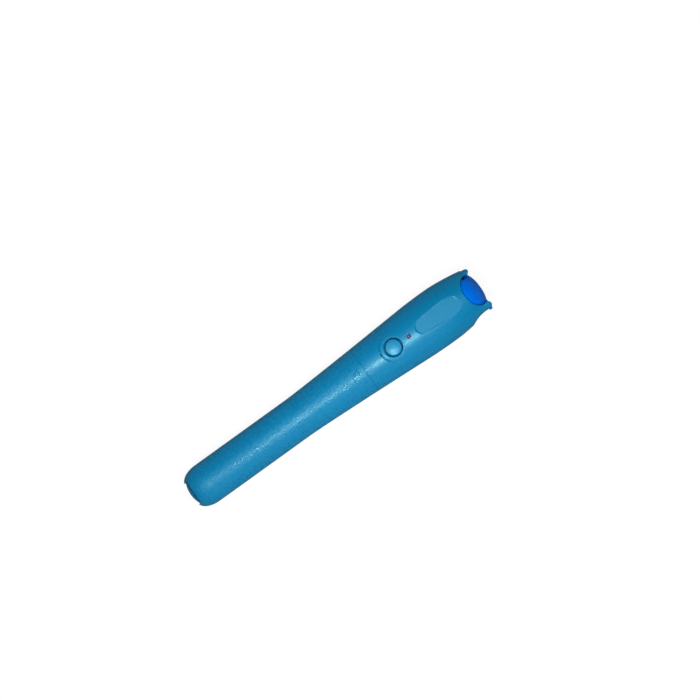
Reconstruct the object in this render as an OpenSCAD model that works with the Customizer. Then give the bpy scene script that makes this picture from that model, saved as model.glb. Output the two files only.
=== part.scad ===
// Visual fault locator pen, in millimetres.
// It lies with its button up: X runs from the tail to the head, Z is up.
// The origin is the mouth of the ferrule sleeve, on the pen's axis.
// Stations along the pen are counted from the tail end.

/* [Housing] */
// Outer diameter of the straight grip
grip_d = 25.2; // [24.6:0.1:27]
// Length of the straight grip
grip_length = 78; // [70:1:84]
// Largest outer diameter of the head
head_d = 34.2; // [33.4:0.1:36]
// Length of the head at its full diameter
head_straight = 13; // [10:1:16]
// Length over which the head narrows to the horns
head_taper = 27.1; // [25:0.1:29]
// Outer diameter at the horns
nose_d = 27.2; // [26.6:0.1:28.2]
// Wall of the three shells
wall = 2; // [1.6:0.1:2.2]
// Radius of the domed tail
tail_dome_r = 18; // [16:0.5:24]
// Radius of the rim round the tail
tail_corner_r = 4.5; // [3:0.1:5]

/* [Mouth] */
// Width of the gap between the two horns
horn_gap = 19.8; // [19:0.1:20.4]
// Radius of the two scooped hollows
scoop_r = 10.34; // [10:0.02:10.6]
// Depth of each scoop's centre below the head's skin
scoop_sink = 9.6; // [9.2:0.1:10]
// Distance of the scoops' centres behind the horn tips
scoop_setback = 3.5; // [3:0.1:4.1]
// Diameter of the bore round the ferrule adapter
mouth_bore_d = 17; // [16.4:0.1:17.6]
// Depth of that bore behind the horn tips
mouth_depth = 19.1; // [18:0.1:21]
// Thickness of the bulkhead behind the bore
nose_bulkhead_t = 4; // [3:0.5:5]
// How far the hinge horn stands past its flat end
hinge_horn_reach = 1.5; // [1:0.1:1.6]
// How far the latch horn stands past its flat end
latch_horn_reach = 1.7; // [1.5:0.1:2.1]
// Radius of the hinge horn's rounded tips
hinge_horn_tip_r = 1.6; // [1.4:0.1:1.7]
// How much farther out the hinge horn's tips are at the slot's floor
hinge_horn_swell = 0.3; // [0:0.05:0.4]
// Radius of the latch horn's rounded posts
latch_post_r = 2.1; // [1.8:0.1:2.2]
// Distance of the latch posts' centres from the axis
latch_post_y = 12.1; // [12:0.05:12.3]
// Width of the slot in each horn, which takes the cap's strap
strap_slot_w = 9.8; // [9:0.1:10.2]
// Radius of the fingernail hollow outside the latch horn
nail_hollow_r = 17.5; // [15:0.5:20]
// Depth of that hollow into the side of the head
nail_hollow_depth = 1.3; // [0.8:0.1:1.5]

/* [Dust cap] */
// Recess of the closed cap below the edge of the scoops
cap_recess = 0.75; // [0.5:0.05:1]
// How far the cap's dome stands past the horns' flat ends
cap_bulge = 2.2; // [1.8:0.1:2.4]
// Running gap between the cap and the mouth
cap_gap = 0.6; // [0.5:0.05:0.8]
// Height of the channel that clears the ferrule adapter
cap_channel_h = 6.8; // [6:0.1:7.6]
// Thickness of the cap's front wall at the channel
cap_front_t = 2; // [1.6:0.1:2.4]
// Depth of the lobes' backs at the channel, behind the dome
cap_lobe_t = 5.2; // [4.5:0.1:5.6]
// Thickness of the strap and the pull tab
strap_t = 1.6; // [1.2:0.1:1.8]
// Radius of the rolled bend where the strap hinges
knuckle_r = 1.35; // [1.1:0.05:1.4]
// How far the pull tab reaches from the axis
tab_reach = 15; // [14.8:0.1:15.4]
// Thickness of the plug behind the tab
plug_t = 0.8; // [0.6:0.1:0.9]
// Length of that plug
plug_length = 3.6; // [3:0.1:3.8]
// Width of the plug
plug_w = 6.8; // [6:0.1:7.2]

/* [Button and pads] */
// Distance of the button's centre ahead of the cover's edge
button_setback = 21; // [19:0.5:23]
// Diameter of the button's crown
button_d = 9.4; // [8.6:0.1:9.8]
// Diameter of the hole round the crown
button_hole_d = 11.4; // [11.2:0.1:11.8]
// Outer diameter of the raised ring round the button
bezel_d = 16; // [15:0.1:17]
// Height of the ring over the skin
bezel_rise = 0.35; // [0.2:0.05:0.6]
// How far the crown stands over the skin
button_proud = 0.9; // [0.6:0.1:1.2]
// Travel of the button
button_travel = 0.8; // [0.5:0.1:1]
// Distance of the indicator ahead of the button
led_ahead = 11; // [10:0.5:12]
// Diameter of the indicator's lens
led_d = 2; // [1.8:0.1:2.2]
// Distance of the thumb pad ahead of the indicator
pad_ahead = 5; // [4:0.5:6]
// Length of the thumb pad
pad_length = 30.6; // [28:0.2:31]
// Width of the thumb pad at its rear end
pad_rear_w = 9.4; // [8.4:0.2:10.4]
// Width of the thumb pad at its front end
pad_front_w = 12.8; // [12:0.2:13.4]
// Distance from the thumb pad to the tips of the horns
pad_to_tip = 14.5; // [14:0.1:15.2]
// Depth of the thumb pad below the head's top
pad_depth = 1.45; // [1.3:0.05:1.6]

/* [Label] */
// Length of the label
label_length = 30; // [26:0.5:31]
// Width of the label
label_w = 14; // [12:0.5:14.5]
// Thickness of the label
label_t = 0.2; // [0.15:0.05:0.3]
// Distance of the label's rear edge behind the head's widest part
label_behind = 14.5; // [12:0.5:15]
// Width of the flat pad that carries the label
label_pad_w = 16; // [15.4:0.2:16.6]
// Margin of the pad at each end of the label
label_margin = 3.6; // [3:0.2:4]
// Depth of the pad below the head's underside
label_pad_depth = 2.5; // [2.2:0.05:2.6]

/* [Screws] */
// Distance of the screws behind the place where the head narrows
screw_behind = 5; // [3:0.5:6]
// Distance of each screw from the axis
screw_y = 10.3; // [10:0.1:10.6]
// Diameter of the recess for each screw
screw_recess_d = 6.8; // [6.2:0.1:7]
// Depth of the screw seats below the axis
screw_seat_z = 9; // [8:0.2:9.6]
// Diameter of the screw heads
screw_head_d = 5; // [4.4:0.1:5.4]
// Height of the screw heads
screw_head_h = 1.9; // [1.6:0.1:2.2]
// Diameter of the screw shanks
screw_d = 2.5; // [2.2:0.1:2.6]
// Length of the screw shanks
screw_length = 13; // [12:0.5:14]
// Wall round the screws in their pillars
boss_wall = 1.7; // [1.4:0.1:1.9]

/* [Battery bay] */
// Diameter of each cell
cell_d = 14.5; // [13.5:0.1:14.6]
// Length of each cell with its nub
cell_length = 50.5; // [49:0.1:51]
// Diameter of a cell's nub
nub_d = 5.5; // [5:0.1:5.8]
// Height of a cell's nub
nub_h = 1.3; // [1:0.1:1.5]
// Length of the seated spring
spring_length = 7; // [6:0.1:8]
// Wire of the spring
spring_wire_d = 0.7; // [0.5:0.05:0.8]
// Turns of the spring
spring_turns = 5; // [4:1:5]
// Radius of the spring where it stands on its plate
spring_base_r = 4.8; // [4.4:0.1:5.2]
// Radius of the spring where it meets the cell
spring_tip_r = 2.8; // [2.4:0.1:3.2]
// Thickness of the contact plates
contact_t = 0.4; // [0.3:0.05:0.5]
// Side of the square contact plates
contact_w = 11.2; // [10:0.2:11.4]
// Gap between the tail wall and the rear plate
contact_seat = 2.2; // [1.8:0.1:2.6]
// Width of the strip that returns the current
strip_w = 4; // [3:0.2:4.4]
// Thickness of that strip
strip_t = 0.3; // [0.2:0.05:0.4]
// Thickness of the wall ahead of the cells and of the cradles
bay_wall_t = 1.8; // [1.4:0.1:2]
// Number of cradles under the cells
cradles = 4; // [2:1:5]
// Length of the cover past the wall ahead of the cells
cover_past_bay = 10.2; // [9:0.2:12]
// Width of the notch in the cover's tail
cover_notch_w = 14.4; // [13:0.2:15]
// How far the tongue in that notch lies below the tail's dome
tongue_sink = 0.9; // [0.6:0.1:1.1]
// Depth of the notch in the cover's tail
cover_notch_depth = 3.6; // [3.2:0.1:4]
// Gap at the cover's front edge
cover_seam = 0.15; // [0.1:0.05:0.25]
// Sliding gap between the cover and the lower shell
slide_gap = 0.3; // [0.3:0.05:0.4]
// Height of the rails that guide the cover
rail_h = 2.2; // [2:0.1:2.6]
// Thickness of the rails
rail_t = 1; // [0.8:0.1:1.2]
// How far the bead stands out of each rail
bead_reach = 0.5; // [0.4:0.05:0.6]
// Height of the bead
bead_h = 0.8; // [0.6:0.05:1]
// Side of the arrow on the cover
arrow_side = 3.6; // [3:0.1:4.4]
// Height of the arrow over the skin
arrow_rise = 0.3; // [0.2:0.05:0.4]
// Distance of the arrow behind the cover's front edge
arrow_behind = 4; // [3.6:0.1:5]

/* [Electronics] */
// Width of the circuit board
board_w = 18; // [16:0.5:18.4]
// Thickness of the circuit board
board_t = 1.2; // [0.8:0.1:1.6]
// Gap between the cover's edge and the board
board_ahead = 1.5; // [1:0.1:2]
// Side of the square switch body
switch_w = 6; // [5.5:0.1:6.4]
// Height of the switch body
switch_h = 3.8; // [3.4:0.1:4.2]
// Diameter of the switch plunger
plunger_d = 3.4; // [3:0.1:3.6]
// Length of the driver chip
chip_length = 5; // [4:0.1:5.4]
// Width of the driver chip
chip_w = 4; // [3.6:0.1:4.4]
// Height of the driver chip
chip_h = 1.5; // [1.2:0.1:1.8]
// Length of a chip resistor
resistor_length = 2; // [1.6:0.1:2.2]
// Width of a chip resistor
resistor_w = 1.25; // [1:0.05:1.4]
// Height of a chip resistor
resistor_h = 0.5; // [0.4:0.05:0.6]
// Diameter of the smoothing capacitor
capacitor_d = 5; // [4:0.1:5.4]
// Height of the smoothing capacitor
capacitor_h = 5.4; // [4:0.1:6]
// Diameter of the wire legs
leg_d = 0.45; // [0.35:0.05:0.5]

/* [Optics] */
// Outer diameter of the laser barrel
barrel_d = 9; // [8.4:0.1:9.2]
// Length of the barrel behind the nose bulkhead
barrel_behind = 18; // [17:0.5:19]
// Thickness of the nut that clamps the barrel behind the bulkhead
nut_t = 2.5; // [2:0.1:3]
// Wall of the barrel round its lens
lens_wall = 1.5; // [1.4:0.05:1.8]
// Thickness of the lens at its middle
lens_t = 2.4; // [2:0.1:2.8]
// Width of the step between the lens bore and the diode's flange
diode_step = 0.2; // [0.15:0.05:0.3]
// Thickness of the diode's flange
diode_flange_t = 1.3; // [1:0.1:1.5]
// Width of the flange round the diode's can
can_step = 0.5; // [0.4:0.05:0.6]
// Length of the diode's can
can_length = 2.3; // [2:0.1:2.6]
// Size across the flats of the barrel nut
nut_af = 12; // [11:0.1:12.4]
// Size across the flats of the adapter's hexagon
adapter_af = 9.6; // [9:0.1:10]
// Thickness of the adapter's hexagon
adapter_hex_t = 3; // [2.5:0.1:3.5]
// Outer diameter of the adapter's tube
tube_d = 4.4; // [4.2:0.05:4.8]
// Distance of the sleeve's mouth behind the horn tips
port_setback = 4.8; // [4.5:0.1:5.5]
// Bore of the split sleeve, for a 2.5 mm ferrule
sleeve_bore_d = 2.5; // [2.5:0.01:2.52]
// Wall of the split sleeve
sleeve_wall = 0.35; // [0.3:0.01:0.4]
// Length of the split sleeve
sleeve_length = 9; // [7:0.1:9.4]
// Slit of the split sleeve
sleeve_slit = 0.4; // [0.3:0.05:0.6]

/* [Hidden] */
$fn = 96;

// Overrun of every cut past the face that it opens
over = 1;
// Gap between fixed pieces that fit in one another
fit = 0.03;
// Clearance of a fixed piece that seats loosely
seat = 0.1;
grip_r = grip_d / 2;
head_r = head_d / 2;
nose_r = nose_d / 2;
// Power of the flare between the grip and the head, and of the nose's fall
flare_power = 1.2;
nose_power = 1.6;
// Share of the flare that rounds its shoulder
shoulder_share = 0.12;
arc_steps = 8;
station_count = 44;
tail_angle = asin((grip_r - tail_corner_r) / (tail_dome_r - tail_corner_r));
corner_x = tail_dome_r - (tail_dome_r - tail_corner_r) * cos(tail_angle);

// Places along the battery bay
contact_x = wall + contact_seat;
spring_x = contact_x + contact_t;
rear_cell_x = spring_x + spring_length;
front_cell_x = rear_cell_x + cell_length;
front_contact_x = front_cell_x + cell_length;
bay_end = front_contact_x + contact_t;
cover_front = bay_end + bay_wall_t + cover_past_bay;
cell_r = cell_d / 2;
bore_in = grip_r - wall;
strip_z = bore_in - strip_t;

// Places along the head
button_x = cover_front + button_setback;
led_x = button_x + led_ahead;
pad_x = led_x + pad_ahead;
pen_length = pad_x + pad_length + pad_to_tip;
head_end = pen_length - head_taper;
head_start = head_end - head_straight;
station_step = (pen_length - grip_length) / station_count;
pad_z = head_r - pad_depth;
screw_x = head_end - screw_behind;
label_x = head_start - label_behind;
label_pad_z = head_r - label_pad_depth;
nose_face = pen_length - mouth_depth;
cavity_end = nose_face - nose_bulkhead_t;
horn_face = pen_length - latch_horn_reach;
scoop_x = pen_length - scoop_setback;
port_x = pen_length - port_setback;
scoop_rise = head_r - scoop_sink;
hinge_x = horn_face - 2 * seat + fit;
hinge_y = (horn_gap / 2 + nose_r) / 2;
plug_y = -horn_gap / 2 - 4 * slide_gap;
slot_floor = hinge_x - knuckle_r - slide_gap - seat;
tab_floor = horn_face - knuckle_r;

// Heights of the electronics over the axis
board_top = -leg_d / 2 - fit;
board_x = cover_front + board_ahead;
barrel_x = cavity_end - barrel_behind;
board_front = barrel_x - over;
switch_top = board_top + switch_h;
crown_top = skin_r(button_x) + bezel_rise + button_proud;
flange_share = 1.4;
flange_t = 1.1;
flange_r = button_d / 2 * flange_share;
flange_top = sqrt(pow(skin_r(button_x - button_d) - wall, 2) - pow(flange_r, 2)) - slide_gap;
plunger_top = switch_top + button_travel + seat;
led_base = flange_top - over;

// Diameters inside the laser barrel
lens_d = barrel_d - 2 * lens_wall;
diode_d = lens_d - 2 * diode_step;
can_d = diode_d - 2 * can_step;

// Places of the optics
adapter_front = port_x + seat * 2;
sleeve_r = sleeve_bore_d / 2 + sleeve_wall;
sleeve_x = port_x - sleeve_length;

function smooth_min(a, b, k) = min(a, b) - pow(max(k - abs(a - b), 0), 2) / (4 * k);
function flare(x) =
    smooth_min(pow(max((x - grip_length) / (head_start - grip_length), 0), flare_power), 1, shoulder_share);
function skin_r(x) =
    x <= head_end ? grip_r + (head_r - grip_r) * flare(x)
    : head_r - (head_r - nose_r) * pow((x - head_end) / head_taper, nose_power);

// Stations between two places, with both of them
function stations(from, to) = concat(
    [from],
    [for (i = [0 : station_count]) let (x = grip_length + i * station_step)
        if (x > from + fit && x < to - fit) x],
    [to]);

// Outline of the whole body from the tail, drawn in by inset, as radius and station
function tail_points(inset) = concat(
    [for (i = [0 : arc_steps]) let (a = tail_angle * i / arc_steps, r = tail_dome_r - inset)
        [r * sin(a), tail_dome_r - r * cos(a)]],
    [for (i = [1 : arc_steps]) let (a = tail_angle + (90 - tail_angle) * i / arc_steps)
        [grip_r - tail_corner_r + (tail_corner_r - inset) * sin(a),
         corner_x - (tail_corner_r - inset) * cos(a)]]);
function body_points(inset, to) = concat(
    tail_points(inset),
    [for (x = stations(corner_x + fit, to)) [skin_r(x) - inset, x]],
    [[0, to]]);
function ring_points(inset, from, to) = concat(
    [[0, from]],
    [for (x = stations(from, to)) [skin_r(x) - inset, x]],
    [[0, to]]);

// Moves what is drawn from the tail to the pen's own origin
module from_tail() { translate([-port_x, 0, 0]) children(); }

// Turns an outline of radius and station about the pen's axis
module lathe(points, start = 0, sweep = 360) {
    rotate([0, 90, 0]) rotate_extrude(angle = sweep, start = start) polygon(points);
}
module upper_half(points) { lathe(points, 90, 180); }
module lower_half(points) { lathe(points, 270, 180); }
module rod(x0, x1, r) { translate([x0, 0, 0]) rotate([0, 90, 0]) cylinder(h = x1 - x0, r = r); }
module tube(x0, x1, r_out, r_in) {
    difference() {
        rod(x0, x1, r_out);
        rod(x0 - over, x1 + over, r_in);
    }
}
module block(low, high) { translate(low) cube(high - low); }
module both_sides() {
    children();
    mirror([0, 1, 0]) children();
}
module up_and_down() {
    children();
    mirror([0, 0, 1]) children();
}

// Flat stadium with its rear end at the origin and its own width at each end
module stadium(length, rear_w, front_w) {
    hull() {
        translate([rear_w / 2, 0]) circle(rear_w / 2);
        translate([length - front_w / 2, 0]) circle(front_w / 2);
    }
}

// The open mouth, drawn in by inset on every side
module mouth(inset) {
    rod(nose_face + inset, pen_length + over, mouth_bore_d / 2 - inset);
    up_and_down() translate([scoop_x, 0, scoop_rise]) sphere(scoop_r - inset);
    block([scoop_x + inset, inset - horn_gap / 2, -head_r],
          [pen_length + over, horn_gap / 2 - inset, head_r]);
}

// Slots, pocket and mortise in the horns, for the cap's strap, anchor and plug
module horn_slots() {
    half = strap_slot_w / 2;
    block([slot_floor, horn_gap / 2 - over, -half], [pen_length + over, head_r, half]);
    block([tab_floor, -head_r, -half], [pen_length + over, over - horn_gap / 2, half]);
    anchor_plug(fit);
    block([tab_floor - plug_length - slide_gap, plug_y - plug_t - 2 * slide_gap, -plug_w / 2 - slide_gap],
          [tab_floor + over, plug_y + slide_gap, plug_w / 2 + slide_gap]);
}

// The part of the strap that the hinge horn holds
anchor_w = 7.8;
anchor_depth = 3.9;
anchor_foot_t = 1.4;
module anchor_plug(grow) {
    low = slot_floor - anchor_depth;
    block([low - grow, hinge_y - strap_t * 0.75 - grow, -anchor_w / 2 - grow],
          [low + anchor_foot_t + grow, hinge_y + strap_t * 0.75 + grow, anchor_w / 2 + grow]);
    block([low, hinge_y - strap_t / 2 - grow, -anchor_w / 2 - grow],
          [slot_floor + (grow > 0 ? over : 0), hinge_y + strap_t / 2 + grow, anchor_w / 2 + grow]);
}

// Rounded ends of the horns, above and below their slots
module horn_tips() {
    tip_y = horn_gap / 2 + hinge_horn_tip_r;
    intersection() {
        union() {
            linear_extrude(head_r) hull() {
                translate([horn_face + hinge_horn_reach - hinge_horn_tip_r, tip_y])
                    circle(hinge_horn_tip_r);
                translate([slot_floor - hinge_horn_tip_r, tip_y + hinge_horn_swell])
                    circle(hinge_horn_tip_r);
            }
            translate([pen_length - latch_post_r, -latch_post_y, 0])
                cylinder(h = head_r, r = latch_post_r);
        }
        rod(slot_floor, pen_length + over, norm([latch_post_y + hinge_horn_tip_r, strap_slot_w / 2]));
        block([slot_floor, -head_r, strap_slot_w / 2], [pen_length + over, head_r, head_r]);
    }
}

module nail_hollow() {
    centre_x = (horn_face + head_end + wall * 6) / 2 + wall * 1.5;
    translate([centre_x, -skin_r(centre_x) + nail_hollow_depth - nail_hollow_r, -head_r])
        cylinder(h = head_d, r = nail_hollow_r);
}

module screw_places() {
    both_sides() translate([screw_x, screw_y, 0]) children();
}

// Fixed pieces inside the lower shell, before they are trimmed to its skin
board_post_r = 1.6;
board_rest_share = 0.78;
module lower_fittings() {
    // Cradles under the cells
    for (i = [1 : cradles]) {
        x = rear_cell_x + (front_contact_x - rear_cell_x) * (i - 0.5) / cradles - bay_wall_t / 2;
        block([x, -head_r, -head_r], [x + bay_wall_t, head_r, 0]);
    }
    // Wall ahead of the cells
    block([bay_end, -contact_w / 2 - over, -head_r],
          [bay_end + bay_wall_t, contact_w / 2 + over, contact_w / 2]);
    // Seat behind the rear plate
    block([wall, -contact_w / 2, -head_r], [contact_x, contact_w / 2, 0]);
    // Saddle under the laser barrel
    block([barrel_x + over, -barrel_d / 2 - over, -head_r],
          [barrel_x + over + bay_wall_t, barrel_d / 2 + over, -barrel_d / 4]);
    // Posts under the circuit board
    for (x = [board_x + board_post_r * 2, board_front - board_post_r * 2])
        both_sides() translate([x, board_w / 2 * board_rest_share, -head_r])
            cylinder(h = head_r + board_top - board_t, r = board_post_r);
    // Floor behind the label's pad
    block([label_x - label_margin - wall, -label_pad_w / 2 - wall, -head_r],
          [cavity_end, label_pad_w / 2 + wall, wall - label_pad_z]);
    // Pillars of the screws
    screw_places() {
        translate([0, 0, -head_r]) cylinder(h = head_r, r = screw_d / 2 + boss_wall);
        translate([0, 0, -head_r])
            cylinder(h = head_r - screw_seat_z + boss_wall, r = screw_recess_d / 2 + boss_wall);
    }
}

// Rails along the open bay, which guide the cover
rail_y = bore_in - slide_gap * 2;
rail_x = corner_x + grip_r / 2;
rail_end = grip_length - over;
module rails() {
    both_sides() {
        block([rail_x, rail_y - rail_t, -rail_t * 2], [rail_end, rail_y, rail_h]);
        block([rail_x, rail_y - over, -rail_t * 2], [rail_end, bore_in + over / 2, 0]);
        block([rail_x, rail_y - over / 2, rail_h - bead_h], [rail_end, rail_y + bead_reach, rail_h]);
    }
}

// Hollow for a fingertip in the tail, under the tongue
module tail_hollow() {
    half = cover_notch_w / 2;
    difference() {
        block([-over, -half, -half], [cover_notch_depth, half, over]);
        lathe(body_points(tongue_sink, corner_x + over));
    }
}

// Tongue of the lower shell that stands in the cover's notch
module tail_tongue() {
    intersection() {
        upper_half(body_points(tongue_sink, corner_x + over));
        block([-over, slide_gap - cover_notch_w / 2, -over],
              [cover_notch_depth - slide_gap, cover_notch_w / 2 - slide_gap, head_r]);
        rod(-over, corner_x, bore_in - slide_gap - seat);
    }
}

module bottom_shell() {
    color([0.15, 0.5, 0.7]) from_tail() {
        difference() {
            union() {
                difference() {
                    lower_half(body_points(0, horn_face));
                    lower_half(body_points(wall, cavity_end));
                }
                intersection() {
                    lower_fittings();
                    lathe(body_points(wall / 2, cavity_end + over));
                }
            }
            mouth(0);
            horn_slots();
            nail_hollow();
            tail_hollow();
            rod(cavity_end - over, nose_face + over, barrel_d / 2 + fit);
            rod(barrel_x, cavity_end, barrel_d / 2 + fit);
            rod(rear_cell_x - spring_length / 2, front_contact_x, cell_r + seat);
            // Ways for the return strip and for the rear plate's leg
            for (way = [[spring_x + over, -over], [board_x, slide_gap - strip_z]])
                block([contact_x, -strip_w / 2 - slide_gap, -bore_in],
                      [way[0], strip_w / 2 + slide_gap, way[1]]);
            screw_places() {
                translate([0, 0, -head_r - over])
                    cylinder(h = head_r + over - screw_seat_z, r = screw_recess_d / 2);
                translate([0, 0, -head_r]) cylinder(h = head_r + over, r = screw_d / 2 + fit);
            }
            // Pad for the label, and the label's own bed
            translate([label_x - label_margin, 0, -head_r - over])
                linear_extrude(head_r + over - label_pad_z)
                    stadium(label_length + 2 * label_margin + 2 * over, label_pad_w, label_pad_w);
            block([label_x, -label_w / 2, -head_r],
                  [label_x + label_length, label_w / 2, label_t - label_pad_z]);
        }
        rails();
        tail_tongue();
        mirror([0, 0, 1]) horn_tips();
    }
}

// Reach of the lip under the cover, its depths below the skin, and the angle that it spans
lip_reach = 4;
lip_top = wall + slide_gap;
lip_under = wall * 1.6 + slide_gap;
lip_sweep = 120;
upright = 180;
module top_shell() {
    hole = button_hole_d / 2;
    color([0.15, 0.5, 0.7]) from_tail() {
        difference() {
            union() {
                difference() {
                    upper_half(ring_points(0, cover_front, horn_face));
                    upper_half(ring_points(wall, cover_front - over, cavity_end));
                }
                // Raised ring round the button
                intersection() {
                    translate([button_x, 0, head_r / 2]) cylinder(h = head_r, r = bezel_d / 2);
                    difference() {
                        upper_half(ring_points(-bezel_rise, button_x - bezel_d, button_x + bezel_d));
                        upper_half(ring_points(wall / 2, button_x - bezel_d - over,
                                               button_x + bezel_d + over));
                    }
                }
                // Pillars of the screws
                intersection() {
                    screw_places() cylinder(h = head_r, r = screw_d / 2 + boss_wall);
                    upper_half(ring_points(wall / 2, cover_front, cavity_end + over));
                }
                // Roof behind the thumb pad
                intersection() {
                    block([pad_x - wall, -pad_front_w / 2 - wall, pad_z - wall],
                          [cavity_end + over, pad_front_w / 2 + wall, head_r]);
                    upper_half(ring_points(wall / 2, cover_front, cavity_end + 2 * over));
                }
                // Lip under the cover's front edge
                lathe([for (p = [[0, lip_top], [lip_reach, lip_top], [lip_reach, lip_under],
                                 [-wall, lip_under], [-wall, wall / 2], [0, wall / 2]])
                        [skin_r(cover_front - p[0]) - p[1], cover_front - p[0]]],
                      upright - lip_sweep / 2, lip_sweep);
            }
            mouth(0);
            horn_slots();
            nail_hollow();
            rod(cavity_end - over, nose_face + over, barrel_d / 2 + fit);
            translate([button_x, 0, 0]) cylinder(h = head_d, r = hole);
            translate([button_x, 0, skin_r(button_x) - bezel_rise])
                cylinder(h = bezel_rise * 4, r1 = hole, r2 = hole + bezel_rise * 4);
            translate([led_x, 0, 0]) cylinder(h = head_d, r = led_d / 2 + seat);
            translate([pad_x, 0, pad_z])
                linear_extrude(head_r) stadium(pad_length, pad_rear_w, pad_front_w);
            screw_places() translate([0, 0, -over])
                cylinder(h = screw_length - screw_seat_z + over * 2, r = screw_d / 2 + fit);
        }
        horn_tips();
    }
}

arrow_x = cover_front - arrow_behind - arrow_side;
module battery_cover() {
    color([0.12, 0.48, 0.68]) from_tail() {
        front = cover_front - cover_seam;
        difference() {
            upper_half(body_points(0, front));
            difference() {
                upper_half(body_points(wall, front + over));
                block([-over, -head_r, -over], [wall, head_r, head_r]);
            }
            block([-over, -cover_notch_w / 2, -over], [cover_notch_depth, cover_notch_w / 2, head_r]);
            // Grooves that run along the beads of the rails
            both_sides() block([rail_x - slide_gap, 0, rail_h - bead_h - slide_gap],
                               [front + over, rail_y + bead_reach + slide_gap, rail_h + slide_gap]);
        }
        // Arrow that points towards the tail, the way the cover slides off
        intersection() {
            translate([arrow_x, 0, grip_r / 2]) linear_extrude(head_r)
                polygon([[0, 0], [arrow_side, arrow_side / 2], [arrow_side, -arrow_side / 2]]);
            difference() {
                upper_half(ring_points(-arrow_rise, arrow_x - over, cover_front));
                upper_half(ring_points(wall / 2, arrow_x - 2 * over, cover_front + over));
            }
        }
    }
}

module housing_screws() {
    socket = screw_head_d / 2 * 0.7;
    color([0.7, 0.7, 0.72]) from_tail() screw_places() {
        translate([0, 0, -screw_seat_z]) cylinder(h = screw_length, r = screw_d / 2);
        difference() {
            translate([0, 0, -screw_seat_z - screw_head_h])
                cylinder(h = screw_head_h, r1 = screw_head_d / 2 * 0.86, r2 = screw_head_d / 2);
            for (turn = [0, 90]) rotate([0, 0, turn])
                translate([0, 0, -screw_seat_z - screw_head_h])
                    cube([socket * 2, socket / 2, screw_head_h], center = true);
        }
    }
}

module rating_label() {
    color("white") from_tail()
        block([label_x, -label_w / 2, -label_pad_z],
              [label_x + label_length, label_w / 2, label_t - label_pad_z]);
}

// The closed cap: a dome that fills the mouth, hollowed at the back
dome_power = 2.4;
dome_steps = 12;
dome_depth_share = 0.34;
lobe_hollow_share = 0.1;
dome_r = skin_r(scoop_x - scoop_r * 0.7) - cap_recess;
dome_tip = horn_face + cap_bulge;
dome_depth = head_d * dome_depth_share;
dome_x = dome_tip - dome_depth;
function dome_points(inset) = let (x = dome_x - inset, r = dome_r - inset) concat(
    [[0, dome_x - scoop_r], [r, dome_x - scoop_r]],
    [for (i = [0 : dome_steps]) let (a = 90 * i / dome_steps)
        [i == dome_steps ? 0 : r * cos(a), x + dome_depth * pow(sin(a), 2 / dome_power)]]);

// Back of the cap: hollowed faces above and below, and a channel with a domed floor between them
lobe_top_share = 0.92;
module cap_back() {
    half = cap_channel_h / 2;
    root_x = dome_tip - cap_lobe_t;
    edge_x = scoop_x - scoop_r * 0.81;
    edge_z = dome_r * lobe_top_share;
    back_x = nose_face - over;
    upper = [for (i = [0 : dome_steps]) let (t = i / dome_steps)
        [root_x + (edge_x - root_x) * t + dome_r * lobe_hollow_share * 4 * t * (1 - t),
         half + (edge_z - half) * t]];
    outline = concat(upper, [[edge_x, head_r], [back_x, head_r]]);
    mirrored = [for (i = [len(outline) - 1 : -1 : 0]) [outline[i][0], -outline[i][1]]];
    rotate([90, 0, 0]) linear_extrude(head_d, center = true) polygon(concat(outline, mirrored));
    intersection() {
        block([back_x, -head_r, -half], [dome_tip, head_r, half]);
        lathe(dome_points(cap_front_t));
    }
}

module dust_cap() {
    half = strap_slot_w / 2 - slide_gap;
    side = horn_gap / 2 - cap_gap;
    tab_x = tab_floor + cap_gap;
    color([0, 0.4, 0.85]) from_tail() {
        difference() {
            intersection() {
                lathe(dome_points(0));
                mouth(cap_gap);
            }
            cap_back();
        }
        // Strap and the rolled bend of the hinge
        block([hinge_x - strap_t, side - over, -half], [hinge_x, hinge_y, half]);
        translate([hinge_x, hinge_y, -half]) cylinder(h = 2 * half, r = knuckle_r);
        // Pull tab, with an ear on each side, and the plug behind it
        block([tab_x, -tab_reach, -half], [tab_x + strap_t, over - side, half]);
        block([tab_x, -tab_reach, -half - bead_h], [tab_x + strap_t, bead_h - tab_reach, half + bead_h]);
        block([tab_floor - plug_length, plug_y - plug_t, -plug_w / 2],
              [tab_x + strap_t / 2, plug_y, plug_w / 2]);
    }
}

module cap_anchor() {
    color([0, 0.4, 0.85]) from_tail() anchor_plug(0);
}

module power_button() {
    r = button_d / 2;
    edge = bezel_rise * 2;
    color([0.15, 0.5, 0.7]) from_tail() translate([button_x, 0, 0])
        rotate_extrude() polygon(concat(
            [[0, plunger_top], [plunger_d / 2, plunger_top], [plunger_d / 2, flange_top - flange_t],
             [flange_r, flange_top - flange_t], [flange_r, flange_top], [r, flange_top]],
            [for (i = [0 : arc_steps]) let (a = 90 * i / arc_steps)
                [r - edge + edge * cos(a), crown_top - edge - bezel_rise + edge * sin(a)]],
            [for (i = [1 : arc_steps]) let (t = i / arc_steps)
                [(r - edge) * (1 - t), crown_top - bezel_rise * pow(1 - t, 2)]]));
}

module switch_plunger() {
    color([0.1, 0.1, 0.1]) from_tail()
        translate([button_x, 0, plunger_top - button_travel - 2 * seat - over])
        cylinder(h = button_travel + 2 * seat + over, r = plunger_d / 2);
}

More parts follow.
